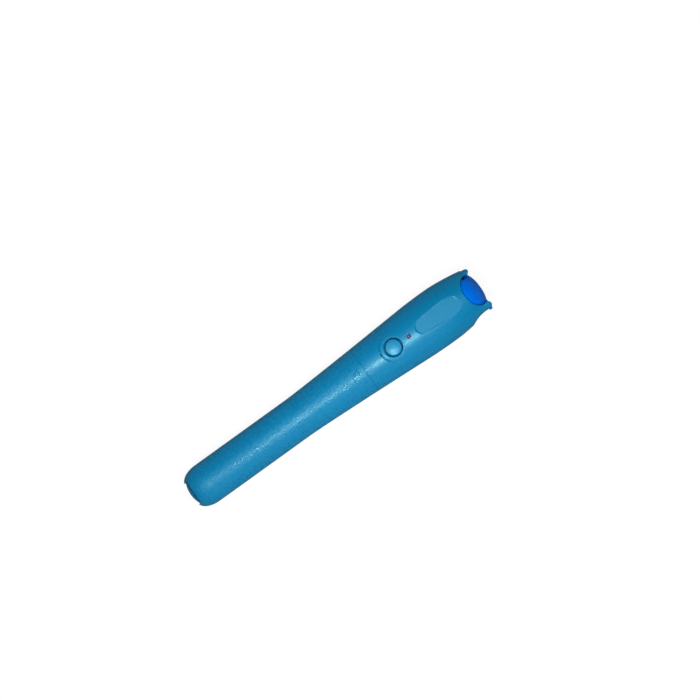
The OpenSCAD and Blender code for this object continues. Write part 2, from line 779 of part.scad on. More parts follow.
module tact_switch() {
    half = switch_w / 2;
    color([0.2, 0.2, 0.2]) from_tail() translate([button_x, 0, 0]) {
        difference() {
            block([-half, -half, board_top], [half, half, switch_top]);
            translate([0, 0, plunger_top - 2 * button_travel - 3 * seat - over])
                cylinder(h = switch_h, r = plunger_d / 2 + seat * 2);
        }
        for (x = [-half + leg_d, half - leg_d]) both_sides()
            block([x - leg_d, half, board_top], [x + leg_d, half + leg_d * 2, board_top + leg_d]);
    }
}

module circuit_board() {
    half = board_w / 2;
    color([0.05, 0.35, 0.15]) from_tail() difference() {
        block([board_x, -half, board_top - board_t], [board_front, half, board_top]);
        for (x = [board_x + board_post_r * 2, board_front - board_post_r * 2])
            both_sides() translate([x, half * board_rest_share, board_top - board_t - over])
                cylinder(h = board_t + 2 * over, r = board_post_r / 2);
    }
}

module driver_chip() {
    x = (board_x + button_x) / 2 - chip_length / 2;
    color([0.08, 0.08, 0.08]) from_tail() {
        block([x, -chip_w / 2, board_top], [x + chip_length, chip_w / 2, board_top + chip_h]);
        for (i = [0 : 3]) both_sides()
            block([x + chip_length * (i + 0.3) / 4, chip_w / 2, board_top],
                  [x + chip_length * (i + 0.7) / 4, chip_w / 2 + leg_d * 2, board_top + leg_d]);
    }
}

module board_passives() {
    color([0.75, 0.7, 0.6]) from_tail() {
        for (i = [0 : 2]) {
            x = led_x + (i - 1) * resistor_length * 1.4 - resistor_length / 2;
            block([x, board_w / 4, board_top],
                  [x + resistor_length, board_w / 4 + resistor_w, board_top + resistor_h]);
        }
        translate([led_x, -board_w / 4, board_top]) cylinder(h = capacitor_h, r = capacitor_d / 2);
    }
}

module indicator_led() {
    r = led_d / 2;
    top = skin_r(led_x) - seat;
    color([0.8, 0.1, 0.1]) from_tail() translate([led_x, 0, 0]) {
        translate([0, 0, led_base]) cylinder(h = top - r - led_base, r = r);
        translate([0, 0, top - r]) sphere(r);
        translate([0, 0, led_base - r / 2]) cylinder(h = r, r = r + seat * 3);
        for (y = [-r / 2, r / 2]) translate([0, y, board_top])
            cylinder(h = led_base - board_top, r = leg_d / 2);
    }
}

// Length of the diode's pins over the board's edge
pin_lap = 5;
module laser_diode() {
    pin_gap = diode_d * 0.23;
    color([0.8, 0.7, 0.4]) from_tail() {
        rod(barrel_x, barrel_x + diode_flange_t, diode_d / 2);
        tube(barrel_x + diode_flange_t, barrel_x + diode_flange_t + can_length, can_d / 2, can_d / 5);
        for (y = [-pin_gap, 0, pin_gap]) translate([0, y, 0])
            rod(barrel_x - pin_lap, barrel_x, leg_d / 2);
    }
}

lens_x = barrel_x + barrel_behind * 0.55;
module laser_barrel() {
    color([0.8, 0.65, 0.3]) from_tail() difference() {
        rod(barrel_x, nose_face, barrel_d / 2);
        rod(barrel_x - over, barrel_x + diode_flange_t, diode_d / 2 + fit);
        rod(barrel_x, lens_x, can_d / 2 + fit);
        rod(lens_x, nose_face + over, lens_d / 2 + fit);
    }
}

lens_crown = lens_t / 4;
module focus_lens() {
    color([0.8, 0.9, 1, 0.5]) from_tail() lathe(concat(
        [for (i = [0 : arc_steps]) let (t = i / arc_steps)
            [lens_d / 2 * t, lens_x + lens_crown * t * t]],
        [for (i = [arc_steps : -1 : 0]) let (t = i / arc_steps)
            [lens_d / 2 * t, lens_x + lens_t - lens_crown * t * t]]));
}

// Ring that holds the lens by its crown, so that it stands clear of the crown's middle
ring_t = 2;
ring_bore_r = lens_d / 3;
ring_x = lens_x + lens_t - lens_crown * pow(ring_bore_r * 2 / lens_d, 2) + fit;
module lens_ring() {
    color([0.3, 0.3, 0.3]) from_tail() tube(ring_x, ring_x + ring_t, lens_d / 2, ring_bore_r);
}

module hexagon(x0, x1, across_flats) {
    translate([x0, 0, 0]) rotate([0, 90, 0]) cylinder(h = x1 - x0, r = across_flats / 2 / cos(30), $fn = 6);
}

module barrel_nut() {
    color([0.75, 0.75, 0.78]) from_tail() difference() {
        hexagon(cavity_end - nut_t, cavity_end, nut_af);
        rod(cavity_end - nut_t - over, cavity_end + over, barrel_d / 2 + fit);
    }
}

module ferrule_adapter() {
    hex_end = nose_face + adapter_hex_t;
    edge = tube_d / 2 * 0.12;
    corner_r = adapter_af / 2 * 1.15;
    color([0.8, 0.8, 0.82]) from_tail() difference() {
        union() {
            rod(nose_face - ring_t * 2, nose_face, lens_d / 2);
            intersection() {
                hexagon(nose_face, hex_end, adapter_af);
                lathe([[0, nose_face], [corner_r, nose_face], [corner_r, hex_end - edge * 2],
                       [adapter_af / 2, hex_end], [0, hex_end]]);
            }
            lathe([[0, hex_end - over], [tube_d * 0.78, hex_end - over], [tube_d * 0.78, hex_end],
                   [tube_d / 2, hex_end + tube_d / 2], [tube_d / 2, adapter_front - edge],
                   [tube_d / 2 - edge, adapter_front], [0, adapter_front]]);
        }
        rod(sleeve_x, adapter_front + over, sleeve_r + fit);
        rod(nose_face - ring_t * 3, sleeve_x + over, sleeve_bore_d / 2 * 0.7);
    }
}

module split_sleeve() {
    color("white") from_tail() difference() {
        tube(sleeve_x, port_x, sleeve_r, sleeve_bore_d / 2);
        block([sleeve_x - over, -sleeve_slit / 2, -sleeve_r - over], [port_x + over, sleeve_slit / 2, 0]);
    }
}

module front_contact() {
    half = contact_w / 2;
    reach = board_x + strip_w / 2;
    rise = half + strip_t + seat;
    color([0.75, 0.75, 0.75]) from_tail() {
        block([front_contact_x, -half, -half], [bay_end, half, rise]);
        block([front_contact_x, -strip_w / 2, half + seat], [reach, strip_w / 2, rise]);
        block([reach - strip_t, -strip_w / 2, board_top], [reach, strip_w / 2, rise]);
    }
}

module rear_contact() {
    half = contact_w / 2;
    color([0.75, 0.75, 0.75]) from_tail() {
        block([contact_x, -half, -half], [spring_x, half, half]);
        block([contact_x, -strip_w / 2, -strip_z], [spring_x, strip_w / 2, over - half]);
    }
}

module return_strip() {
    reach = board_x + strip_w / 2;
    color([0.75, 0.75, 0.75]) from_tail() {
        block([contact_x, -strip_w / 2, -strip_z - strip_t], [reach, strip_w / 2, -strip_z]);
        block([reach - strip_t, -strip_w / 2, -strip_z - strip_t],
              [reach, strip_w / 2, board_top - board_t]);
    }
}

// Conical spring: one wire, wound as a helix about the pen's axis
coil_rings = 8;
wire_sides = 6;
wire_r = spring_wire_d / 2;
function coil_centre(i) =
    let (t = i / (spring_turns * coil_rings), a = 360 * i / coil_rings,
         r = spring_base_r + (spring_tip_r - spring_base_r) * t,
         x = spring_x + wire_r + fit + (spring_length - spring_wire_d - 2 * fit) * t)
    [x, r * cos(a), r * sin(a)];
function coil_ring(i) =
    let (a = 360 * i / coil_rings, c = coil_centre(i))
    [for (j = [0 : wire_sides - 1]) let (b = 360 * j / wire_sides)
        c + wire_r * [sin(b), cos(b) * cos(a), cos(b) * sin(a)]];
module battery_spring() {
    last = spring_turns * coil_rings;
    points = [for (i = [0 : last]) each coil_ring(i)];
    sides = [for (i = [0 : last - 1], j = [0 : wire_sides - 1])
        let (a = i * wire_sides + j, b = i * wire_sides + (j + 1) % wire_sides,
             c = a + wire_sides, d = b + wire_sides)
        each [[a, b, c], [b, d, c]]];
    ends = [for (j = [1 : wire_sides - 2])
        each [[0, j + 1, j], [last * wire_sides, last * wire_sides + j, last * wire_sides + j + 1]]];
    least = min([for (i = [0 : last - coil_rings]) norm(coil_centre(i + coil_rings) - coil_centre(i))])
        - spring_wire_d;
    echo(least_gap_between_turns_mm = least);
    color([0.8, 0.8, 0.8]) from_tail() polyhedron(points, concat(sides, ends), convexity = 8);
}

module cell(x) {
    shoulder = nub_h / 2;
    color([0.2, 0.25, 0.3]) from_tail() lathe([
        [0, x], [cell_r - shoulder, x], [cell_r, x + shoulder],
        [cell_r, x + cell_length - nub_h - shoulder], [cell_r - shoulder, x + cell_length - nub_h],
        [nub_d / 2, x + cell_length - nub_h], [nub_d / 2, x + cell_length], [0, x + cell_length]]);
}
module front_cell() { color([0.2, 0.25, 0.3]) cell(front_cell_x); }
module rear_cell() { color([0.2, 0.25, 0.3]) cell(rear_cell_x); }

bottom_shell();
top_shell();
battery_cover();
housing_screws();
rating_label();
dust_cap();
cap_anchor();
power_button();
switch_plunger();
tact_switch();
circuit_board();
driver_chip();
board_passives();
indicator_led();
laser_diode();
laser_barrel();
focus_lens();
lens_ring();
barrel_nut();
ferrule_adapter();
split_sleeve();
front_contact();
rear_contact();
battery_spring();
return_strip();
front_cell();
rear_cell();
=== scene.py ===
"""Visual fault locator pen, lying on a pale table with its button up.

The housing and the rubber cap are moulded forms, so each is described as a distance field in
millimetres, counted from the tail along X, and meshed on a graded lattice: every edge then has
the small radius that a moulding has. Turned and flat pieces are grids of two parameters.
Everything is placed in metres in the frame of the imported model.
"""

from __future__ import annotations

import logging
import math
from dataclasses import dataclass, field
from enum import Enum
from typing import Callable, Sequence

import bmesh
import bpy
import numpy as np
from mathutils import Matrix, Vector

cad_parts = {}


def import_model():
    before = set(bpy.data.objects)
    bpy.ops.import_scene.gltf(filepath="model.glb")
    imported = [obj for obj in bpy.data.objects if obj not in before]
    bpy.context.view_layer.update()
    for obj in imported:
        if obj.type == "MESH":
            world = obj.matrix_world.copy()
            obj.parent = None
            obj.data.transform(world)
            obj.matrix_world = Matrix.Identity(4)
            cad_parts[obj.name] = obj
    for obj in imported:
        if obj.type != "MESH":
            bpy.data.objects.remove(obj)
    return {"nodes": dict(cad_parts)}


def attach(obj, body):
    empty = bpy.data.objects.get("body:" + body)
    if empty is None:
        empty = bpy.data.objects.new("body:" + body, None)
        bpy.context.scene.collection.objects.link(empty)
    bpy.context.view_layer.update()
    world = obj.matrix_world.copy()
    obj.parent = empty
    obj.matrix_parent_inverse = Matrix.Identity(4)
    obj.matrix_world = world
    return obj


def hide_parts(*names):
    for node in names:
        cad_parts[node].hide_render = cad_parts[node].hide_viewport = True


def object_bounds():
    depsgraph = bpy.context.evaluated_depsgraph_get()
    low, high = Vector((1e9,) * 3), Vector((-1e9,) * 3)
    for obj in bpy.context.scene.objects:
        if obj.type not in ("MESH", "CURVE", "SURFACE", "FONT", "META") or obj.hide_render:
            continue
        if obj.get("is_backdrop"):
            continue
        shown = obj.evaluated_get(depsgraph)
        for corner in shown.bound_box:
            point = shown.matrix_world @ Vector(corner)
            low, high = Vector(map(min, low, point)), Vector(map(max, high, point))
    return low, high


log = logging.getLogger("fault_locator")

MM = 0.001
OUTSIDE = 30.0  # millimetres: past the skin on every side
CLEAR = 9.0  # millimetres: how far a cutter runs past the horns' tips
NO_LIMIT = 1.0  # metres: past the pen, for a band that has one edge only
SEAM_STEP = 0.12  # millimetres: lattice spacing at a parting line
STEP = 0.36  # millimetres: lattice spacing elsewhere

Array = np.ndarray
Field = Callable[[Array], Array]
Corners = tuple[Sequence[float], Sequence[float]]
Colour = tuple[float, float, float, float]
Socket = bpy.types.NodeSocket


class Body(str, Enum):
    """Moving bodies of the pen."""

    HOUSING = "housing"
    CAP = "cap"
    BUTTON = "button"
    COVER = "cover"


# Stations along the pen


@dataclass(frozen=True)
class Stations:
    """Places along the pen's axis, in millimetres from the tail."""

    port: float = 202.3
    grip_end: float = 78.0
    cover_front: float = 125.0
    button: float = 146.0
    lamp: float = 157.0
    pad: float = 162.0
    head_start: float = 167.0
    head_end: float = 180.0
    cavity_end: float = 184.0
    nose_face: float = 188.0
    scoop: float = 203.6
    horn_face: float = 205.4
    hinge: float = 205.23
    tip: float = 207.1


@dataclass(frozen=True)
class Skin:
    """Outer skin of the housing: a radius for each station, closed by a domed tail."""

    grip_r: float = 12.6
    head_r: float = 17.1
    nose_r: float = 13.6
    flare_power: float = 1.2
    shoulder_share: float = 0.12
    nose_power: float = 1.6
    tail_dome_r: float = 18.0
    tail_corner_r: float = 4.5
    at: Stations = field(default_factory=Stations)

    def radius(self, x: Array) -> Array:
        """Radius of the skin at each station.

        The grip is straight, the flare follows a power of the distance from it and eases into
        the head, and the nose falls away as a power of the distance from the head's end.

        Args:
            x: stations in millimetres from the tail.

        Returns:
            Radii in millimetres.
        """
        at = self.at
        run = np.clip((x - at.grip_end) / (at.head_start - at.grip_end), 0.0, None) ** self.flare_power
        overlap = np.maximum(self.shoulder_share - np.abs(run - 1.0), 0.0)
        eased = np.minimum(run, 1.0) - overlap**2 / (4.0 * self.shoulder_share)
        fall = np.clip((x - at.head_end) / (at.tip - at.head_end), 0.0, None) ** self.nose_power
        return self.grip_r + (self.head_r - self.grip_r) * eased - (self.head_r - self.nose_r) * fall

    def distance(self, p: Array, inset: float = 0.0) -> Array:
        """Distance to the skin drawn in by an inset, with the domed tail and its round rim.

        Args:
            p: points in millimetres from the tail.
            inset: how far the skin is drawn in, or out where it is negative.

        Returns:
            Distances in millimetres, negative inside.
        """
        side = np.hypot(p[..., 1], p[..., 2]) - self.radius(p[..., 0]) + inset
        centre = np.array([self.tail_dome_r, 0.0, 0.0])
        dome = np.linalg.norm(p - centre, axis=-1) - self.tail_dome_r + inset
        dome = np.where(p[..., 0] < self.tail_dome_r, dome, -self.tail_dome_r)
        return both(side, dome, self.tail_corner_r - min(inset, self.tail_corner_r - 1.0))


# Distance fields


def length_of(*parts: Array) -> Array:
    """Length of the vectors with these components, whole arrays at once."""
    return np.sqrt(sum(part * part for part in parts))


def both(a: Array, b: Array, r: float = 0.0) -> Array:
    """Overlap of two solids, with the edge between them rounded to radius r.

    It is the greater of the two distances, and within r of the edge the length of the two
    distances taken from a centre that lies r inside both.
    """
    if r <= 0.0:
        return np.maximum(a, b)
    return np.minimum(-r, np.maximum(a, b)) + length_of(np.maximum(r + a, 0.0), np.maximum(r + b, 0.0))


def joined(a: Array, b: Array, r: float = 0.0) -> Array:
    """Union of two solids, with the corner between them filled to radius r."""
    return -both(-a, -b, r)


def cut(a: Array, b: Array, r: float = 0.0) -> Array:
    """Solid a with b taken away, with the new edge rounded to radius r."""
    return both(a, -b, r)


def mirrored(p: Array, axis: int) -> Array:
    """Points with the size of one coordinate alone, so that a shape stands on both sides."""
    folded = p.copy()
    folded[..., axis] = np.abs(p[..., axis])
    return folded


def block(p: Array, low: Sequence[float], high: Sequence[float], r: float = 0.0) -> Array:
    """Distance to a block between two corners, with its edges rounded to radius r."""
    low_corner, high_corner = np.asarray(low, float), np.asarray(high, float)
    q = np.abs(p - (low_corner + high_corner) / 2) - (high_corner - low_corner) / 2 + r
    return np.linalg.norm(np.maximum(q, 0.0), axis=-1) + np.minimum(q.max(axis=-1), 0.0) - r


def rod(p: Array, x0: float, x1: float, radius: float, r: float = 0.0) -> Array:
    """Distance to a cylinder along the pen's axis."""
    side = np.hypot(p[..., 1], p[..., 2]) - radius
    ends = np.abs(p[..., 0] - (x0 + x1) / 2) - (x1 - x0) / 2
    return both(side, ends, r)


def post(p: Array, x: float, y: float, z0: float, z1: float, radius: float, r: float = 0.0) -> Array:
    """Distance to an upright cylinder."""
    side = np.hypot(p[..., 0] - x, p[..., 1] - y) - radius
    ends = np.abs(p[..., 2] - (z0 + z1) / 2) - (z1 - z0) / 2
    return both(side, ends, r)


def ball(p: Array, centre: Sequence[float], radius: float) -> Array:
    """Distance to a ball."""
    return np.linalg.norm(p - np.asarray(centre, float), axis=-1) - radius


def stadium(x: Array, y: Array, start: float, length: float, rear_w: float, front_w: float) -> Array:
    """Flat distance to a stadium along X whose two round ends have their own widths.

    Beside the sides it is the distance to the straight line that touches both end circles, and
    beyond them the distance to the nearer circle.

    Args:
        x, y: places in millimetres.
        start: rear end of the outline.
        length: its whole length.
        rear_w, front_w: widths of its two ends.

    Returns:
        Distances in millimetres, negative inside.
    """
    rear, front = rear_w / 2, front_w / 2
    run = length - rear - front
    lean = (rear - front) / run
    rise = math.sqrt(1.0 - lean * lean)
    along, across = x - start - rear, np.abs(y)
    k = -lean * across + rise * along
    side = rise * across + lean * along - rear
    ends = np.where(k < 0.0, length_of(across, along) - rear, length_of(across, along - run) - front)
    return np.where((k < 0.0) | (k > rise * run), ends, side)


# Meshing


def graded(*stops: tuple[float, float]) -> Array:
    """Lattice coordinates with their own spacing on each stretch.

    Args:
        stops: pairs of a place and the spacing that follows it; the last pair's spacing is unused.

    Returns:
        Rising coordinates from the first place to the last.
    """
    runs = [
        np.linspace(a, b, max(2, int(round((b - a) / step)) + 1))[:-1]
        for (a, step), (b, _) in zip(stops[:-1], stops[1:])
    ]
    return np.concatenate([*runs, [stops[-1][0]]])


def field_normals(solid: Field, points: Array, reach: float = 0.02) -> Array:
    """Gradient of a distance field at points, by central differences."""
    slopes = [
        solid(points + step) - solid(points - step)
        for step in np.eye(3) * reach
    ]
    return np.stack(slopes, axis=-1) / (2.0 * reach)


def net_surface(solid: Field, axes: tuple[Array, Array, Array]) -> tuple[Array, Array, Array]:
    """Meshes a distance field with one vertex in each lattice cell that its surface crosses.

    A vertex starts at the mean of the crossings on its cell's twelve edges, and is then moved
    along the field's gradient onto the surface. Each lattice edge with a change of sign gives
    one quad between its four cells.

    Args:
        solid: distance in millimetres, negative inside.
        axes: lattice coordinates along X, Y and Z.

    Returns:
        Vertices, quads and unit normals.
    """
    grid = np.stack(np.meshgrid(*axes, indexing="ij"), axis=-1)
    value = np.concatenate([solid(slab) for slab in np.array_split(grid, 8)])
    inside = value < 0.0
    cells = tuple(n - 1 for n in value.shape)
    corners = [np.array([i, j, k]) for i in (0, 1) for j in (0, 1) for k in (0, 1)]
    full = sum(inside[c[0]:c[0] + cells[0], c[1]:c[1] + cells[1], c[2]:c[2] + cells[2]].astype(np.int8)
               for c in corners)
    active = (full > 0) & (full < 8)
    where = np.argwhere(active)
    number = np.full(cells, -1)
    number[active] = np.arange(len(where))

    total, hits = np.zeros((len(where), 3)), np.zeros(len(where))
    for axis in range(3):
        unit = np.eye(3, dtype=int)[axis]
        for corner in (c for c in corners if c[axis] == 0):
            first, second = tuple((where + corner).T), tuple((where + corner + unit).T)
            v0, v1 = value[first], value[second]
            crossed = (v0 < 0.0) != (v1 < 0.0)
            share = np.where(crossed, v0 / np.where(crossed, v0 - v1, 1.0), 0.0)[:, None]
            place = grid[first] + share * (grid[second] - grid[first])
            total += np.where(crossed[:, None], place, 0.0)
            hits += crossed
    points = total / hits[:, None]

    quads = []
    for axis in range(3):
        b, c = (axis + 1) % 3, (axis + 2) % 3
        low = [slice(1, -1)] * 3
        high = [slice(1, -1)] * 3
        low[axis], high[axis] = slice(0, -1), slice(1, None)
        start, end = inside[tuple(low)], inside[tuple(high)]
        edges = np.argwhere(start != end)
        outward = start[tuple(edges.T)]
        base = edges + 1
        base[:, axis] -= 1
        ring = []
        for step_b, step_c in ((-1, -1), (0, -1), (0, 0), (-1, 0)):
            cell = base.copy()
            cell[:, b] += step_b
            cell[:, c] += step_c
            ring.append(number[tuple(cell.T)])
        quad = np.stack(ring, axis=1)
        quads.append(np.where(outward[:, None], quad, quad[:, ::-1]))

    for _ in range(3):
        slope = field_normals(solid, points)
        steep = np.maximum((slope * slope).sum(axis=1), 0.2)
        points -= slope * np.clip(solid(points) / steep, -0.25, 0.25)[:, None]
    slope = field_normals(solid, points)
    steep = np.linalg.norm(slope, axis=1, keepdims=True)
    return points, np.concatenate(quads), slope / np.maximum(steep, 1e-6)


def to_frame(points: Array, port: float) -> Array:
    """Millimetres from the tail to metres from the ferrule port."""
    return (points - np.array([port, 0.0, 0.0])) * MM


def make_mesh(name: str, points: Array, faces: Array, normals: Array | None = None) -> bpy.types.Object:
    """Makes a smooth object of vertices in metres and faces with three or four corners.

    Args:
        name: name of the object and its mesh.
        points: vertices in metres, in the model's frame.
        faces: rows of vertex numbers; a triangle in a row of four repeats its first number.
        normals: unit normals of the vertices, or None to leave them to the faces.

    Returns:
        The linked object.
    """
    mesh = bpy.data.meshes.new(name)
    if faces.shape[1] == 4 and bool((faces[:, 0] == faces[:, -1]).any()):
        rows = [row[:3] if row[0] == row[3] else row for row in faces.tolist()]
        mesh.from_pydata(points.tolist(), [], rows)
    else:
        corners, count = faces.shape[1], len(faces)
        mesh.vertices.add(len(points))
        mesh.vertices.foreach_set("co", points.astype(np.float32).ravel())
        mesh.loops.add(count * corners)
        mesh.loops.foreach_set("vertex_index", faces.astype(np.int32).ravel())
        mesh.polygons.add(count)
        mesh.polygons.foreach_set("loop_start", np.arange(0, count * corners, corners, dtype=np.int32))
    mesh.update(calc_edges=True)
    mesh.validate()
    mesh.polygons.foreach_set("use_smooth", np.ones(len(mesh.polygons), dtype=bool))
    if normals is not None and len(mesh.vertices) == len(normals):
        mesh.normals_split_custom_set_from_vertices(normals.tolist())
    obj = bpy.data.objects.new(name, mesh)
    bpy.context.scene.collection.objects.link(obj)
    return obj


def moulded(name: str, solid: Field, axes: tuple[Array, Array, Array], port: float) -> bpy.types.Object:
    """Meshes a distance field as a piece.

    Args:
        name: name of the piece.
        solid: distance in millimetres, negative inside.
        axes: lattice coordinates along X, Y and Z.
        port: station of the port, which is the origin.

    Returns:
        The closed piece, with the field's own normals.
    """
    points, quads, normals = net_surface(solid, axes)
    log.info("%s: %d vertices, %d quads", name, len(points), len(quads))
    return make_mesh(name, to_frame(points, port), quads, normals)


def grid_faces(rows: int, columns: int, wrap: bool) -> Array:
    """Quads of a grid of rows by columns, joined round its columns if it wraps."""
    last = columns if wrap else columns - 1
    r, c = np.meshgrid(np.arange(rows - 1), np.arange(last), indexing="ij")
    n = (c + 1) % columns
    near, far = r * columns, (r + 1) * columns
    return np.stack([near + c, near + n, far + n, far + c], axis=-1).reshape(-1, 4)


def turned(name: str, profile: Array, axis: str, port: float, centre: Sequence[float] = (0.0, 0.0, 0.0),
           sides: int = 96, sharp_deg: float = 35.0) -> bpy.types.Object:
    """Turns a profile about an axis: each point (radius, height) becomes a ring.

    Args:
        name: name of the piece.
        profile: rows of radius and height in millimetres, from the foot's centre to the top's.
        axis: "X" to turn about the pen's axis, "Z" about an upright one.
        port: station of the port, which is the origin.
        centre: foot of the axis, in millimetres from the tail.
        sides: points round each ring.
        sharp_deg: angle between faces from which an edge stays sharp.

    Returns:
        The closed piece.
    """
    a = np.linspace(0.0, 2 * math.pi, sides, endpoint=False)
    r, h = profile[:, :1], profile[:, 1:]
    level = np.broadcast_to(h, (len(profile), sides))
    around, across = r * np.cos(a), r * np.sin(a)
    stack = (level, around, across) if axis == "X" else (around, across, level)
    points = np.stack(stack, axis=-1).reshape(-1, 3) + np.asarray(centre, float)
    faces = grid_faces(len(profile), sides, wrap=True)
    obj = make_mesh(name, to_frame(points, port), faces)
    tidy(obj, sharp_deg)
    return obj


def tidy(obj: bpy.types.Object, sharp_deg: float) -> None:
    """Welds doubles, drops flat faces, turns the faces outwards and keeps sharp edges sharp."""
    bm = bmesh.new()
    bm.from_mesh(obj.data)
    bmesh.ops.remove_doubles(bm, verts=bm.verts, dist=1e-6)
    bmesh.ops.dissolve_degenerate(bm, edges=bm.edges, dist=1e-7)
    bmesh.ops.recalc_face_normals(bm, faces=bm.faces)
    for edge in bm.edges:
        edge.smooth = not (edge.is_manifold and edge.calc_face_angle(0.0) > math.radians(sharp_deg))
    for face in bm.faces:
        face.smooth = True
    bm.to_mesh(obj.data)
    bm.free()


def arc(centre: tuple[float, float], radius: float, start: float, end: float,
        steps: int = 6) -> list[list[float]]:
    """Points (radius, height) along an arc between two angles in degrees."""
    a = np.radians(np.linspace(start, end, steps + 1))
    return np.stack([centre[0] + radius * np.cos(a), centre[1] + radius * np.sin(a)], axis=1).tolist()


# Finishes
#
# A pattern's scale is its number of cells per metre. Real grain and turning marks are a tenth
# of a millimetre across or less, which falls between the pixels, so they are drawn 0.4 to
# 1.1 mm across. Slower patterns, 1.4 to 18 mm across, give the uneven colour and gloss that a
# moulded, plated or printed surface has at arm's length.


def linear(hex_colour: str) -> Colour:
    """A screen colour such as "#3390B7" as linear red, green, blue and alpha."""
    parts = [int(hex_colour[i:i + 2], 16) / 255 for i in (1, 3, 5)]
    lin = [v / 12.92 if v <= 0.04045 else ((v + 0.055) / 1.055) ** 2.4 for v in parts]
    return (lin[0], lin[1], lin[2], 1.0)


class Graph:
    """A material's node tree, with short calls to add and join its nodes."""

    def __init__(self, name: str) -> None:
        """Makes an empty material with a shader and an output."""
        self.material = bpy.data.materials.new(name)
        self.material.use_nodes = True
        self.tree = self.material.node_tree
        self.tree.nodes.clear()
        self.output = self.tree.nodes.new("ShaderNodeOutputMaterial")
        self.shader = self.tree.nodes.new("ShaderNodeBsdfPrincipled")
        self.join(self.shader.outputs["BSDF"], self.output.inputs["Surface"])
        self.place = self.tree.nodes.new("ShaderNodeTexCoord").outputs["Object"]

    def join(self, source: Socket, target: Socket) -> None:
        """Joins two sockets."""
        self.tree.links.new(source, target)

    def feed(self, socket: Socket, value: object) -> None:
        """Sets a socket to a number or colour, or joins another socket to it."""
        if isinstance(value, Socket):
            self.join(value, socket)
        else:
            socket.default_value = value

    def noise(self, scale: float, detail: float = 3.0,
              stretch: Sequence[float] = (1.0, 1.0, 1.0)) -> Socket:
        """Noise with this many cells per metre, stretched by factors along the axes."""
        mapping = self.tree.nodes.new("ShaderNodeMapping")
        mapping.inputs["Scale"].default_value = stretch
        self.join(self.place, mapping.inputs["Vector"])
        node = self.tree.nodes.new("ShaderNodeTexNoise")
        node.inputs["Scale"].default_value = scale
        node.inputs["Detail"].default_value = detail
        self.join(mapping.outputs["Vector"], node.inputs["Vector"])
        return node.outputs["Fac"]

    def maths(self, operation: str, a: object, b: object = 0.0) -> Socket:
        """Result of a maths node on sockets or numbers."""
        node = self.tree.nodes.new("ShaderNodeMath")
        node.operation = operation
        for socket, value in zip(node.inputs, (a, b)):
            self.feed(socket, value)
        return node.outputs["Value"]

    def split(self) -> list[Socket]:
        """The X, Y and Z of the object coordinates, in metres."""
        node = self.tree.nodes.new("ShaderNodeSeparateXYZ")
        self.join(self.place, node.inputs["Vector"])
        return list(node.outputs)

    def band(self, value: object, low: float, high: float, soft: float = 0.0) -> Socket:
        """One between two limits and nought outside, with edges as soft as given."""
        soft = max(soft, 1e-6)
        rise = self.tree.nodes.new("ShaderNodeMapRange")
        fall = self.tree.nodes.new("ShaderNodeMapRange")
        for node, start, end in ((rise, low - soft, low + soft), (fall, high + soft, high - soft)):
            node.interpolation_type = "SMOOTHSTEP"
            self.feed(node.inputs["Value"], value)
            node.inputs["From Min"].default_value = start
            node.inputs["From Max"].default_value = end
        return self.maths("MULTIPLY", rise.outputs["Result"], fall.outputs["Result"])

    def patch(self, across: tuple[object, float, float], along: tuple[object, float, float],
              soft: float) -> Socket:
        """One where two values are each between their own limits, and nought elsewhere."""
        return self.maths("MULTIPLY", self.band(*across, soft), self.band(*along, soft))

    def away(self, a: Socket, b: Socket) -> Socket:
        """Length of two distances at right angles."""
        squares = [self.maths("POWER", part, 2.0) for part in (a, b)]
        return self.maths("SQRT", self.maths("ADD", *squares))

    def waves(self, value: Socket, length: float, lines: float) -> Socket:
        """Lines at a spacing in metres: one where the sine of the place is above a share."""
        rows = self.maths("SINE", self.maths("MULTIPLY", value, 2 * math.pi / length))
        return self.band(rows, lines, 9.0, 0.12)

    def mix(self, share: object, a: object, b: object) -> Socket:
        """Colour between a and b."""
        node = self.tree.nodes.new("ShaderNodeMix")
        node.data_type = "RGBA"
        self.feed(node.inputs[0], share)
        self.feed(node.inputs[6], a)
        self.feed(node.inputs[7], b)
        return node.outputs[2]

    def span(self, value: object, low: float, high: float, start: float = 0.0,
             stop: float = 1.0) -> Socket:
        """Maps start to stop onto low to high."""
        node = self.tree.nodes.new("ShaderNodeMapRange")
        self.feed(node.inputs["Value"], value)
        node.inputs["From Min"].default_value = start
        node.inputs["From Max"].default_value = stop
        node.inputs["To Min"].default_value = low
        node.inputs["To Max"].default_value = high
        return node.outputs["Result"]

    def bump(self, height: object, depth: float) -> None:
        """Lifts the surface by a height of nought to one times a depth in metres."""
        node = self.tree.nodes.new("ShaderNodeBump")
        node.inputs["Strength"].default_value = 1.0
        node.inputs["Distance"].default_value = depth
        self.feed(node.inputs["Height"], height)
        self.join(node.outputs["Normal"], self.shader.inputs["Normal"])

    def set(self, **values: float) -> None:
        """Sets the shader's own sockets, named with underscores for spaces."""
        for name, value in values.items():
            self.shader.inputs[name.replace("_", " ")].default_value = value


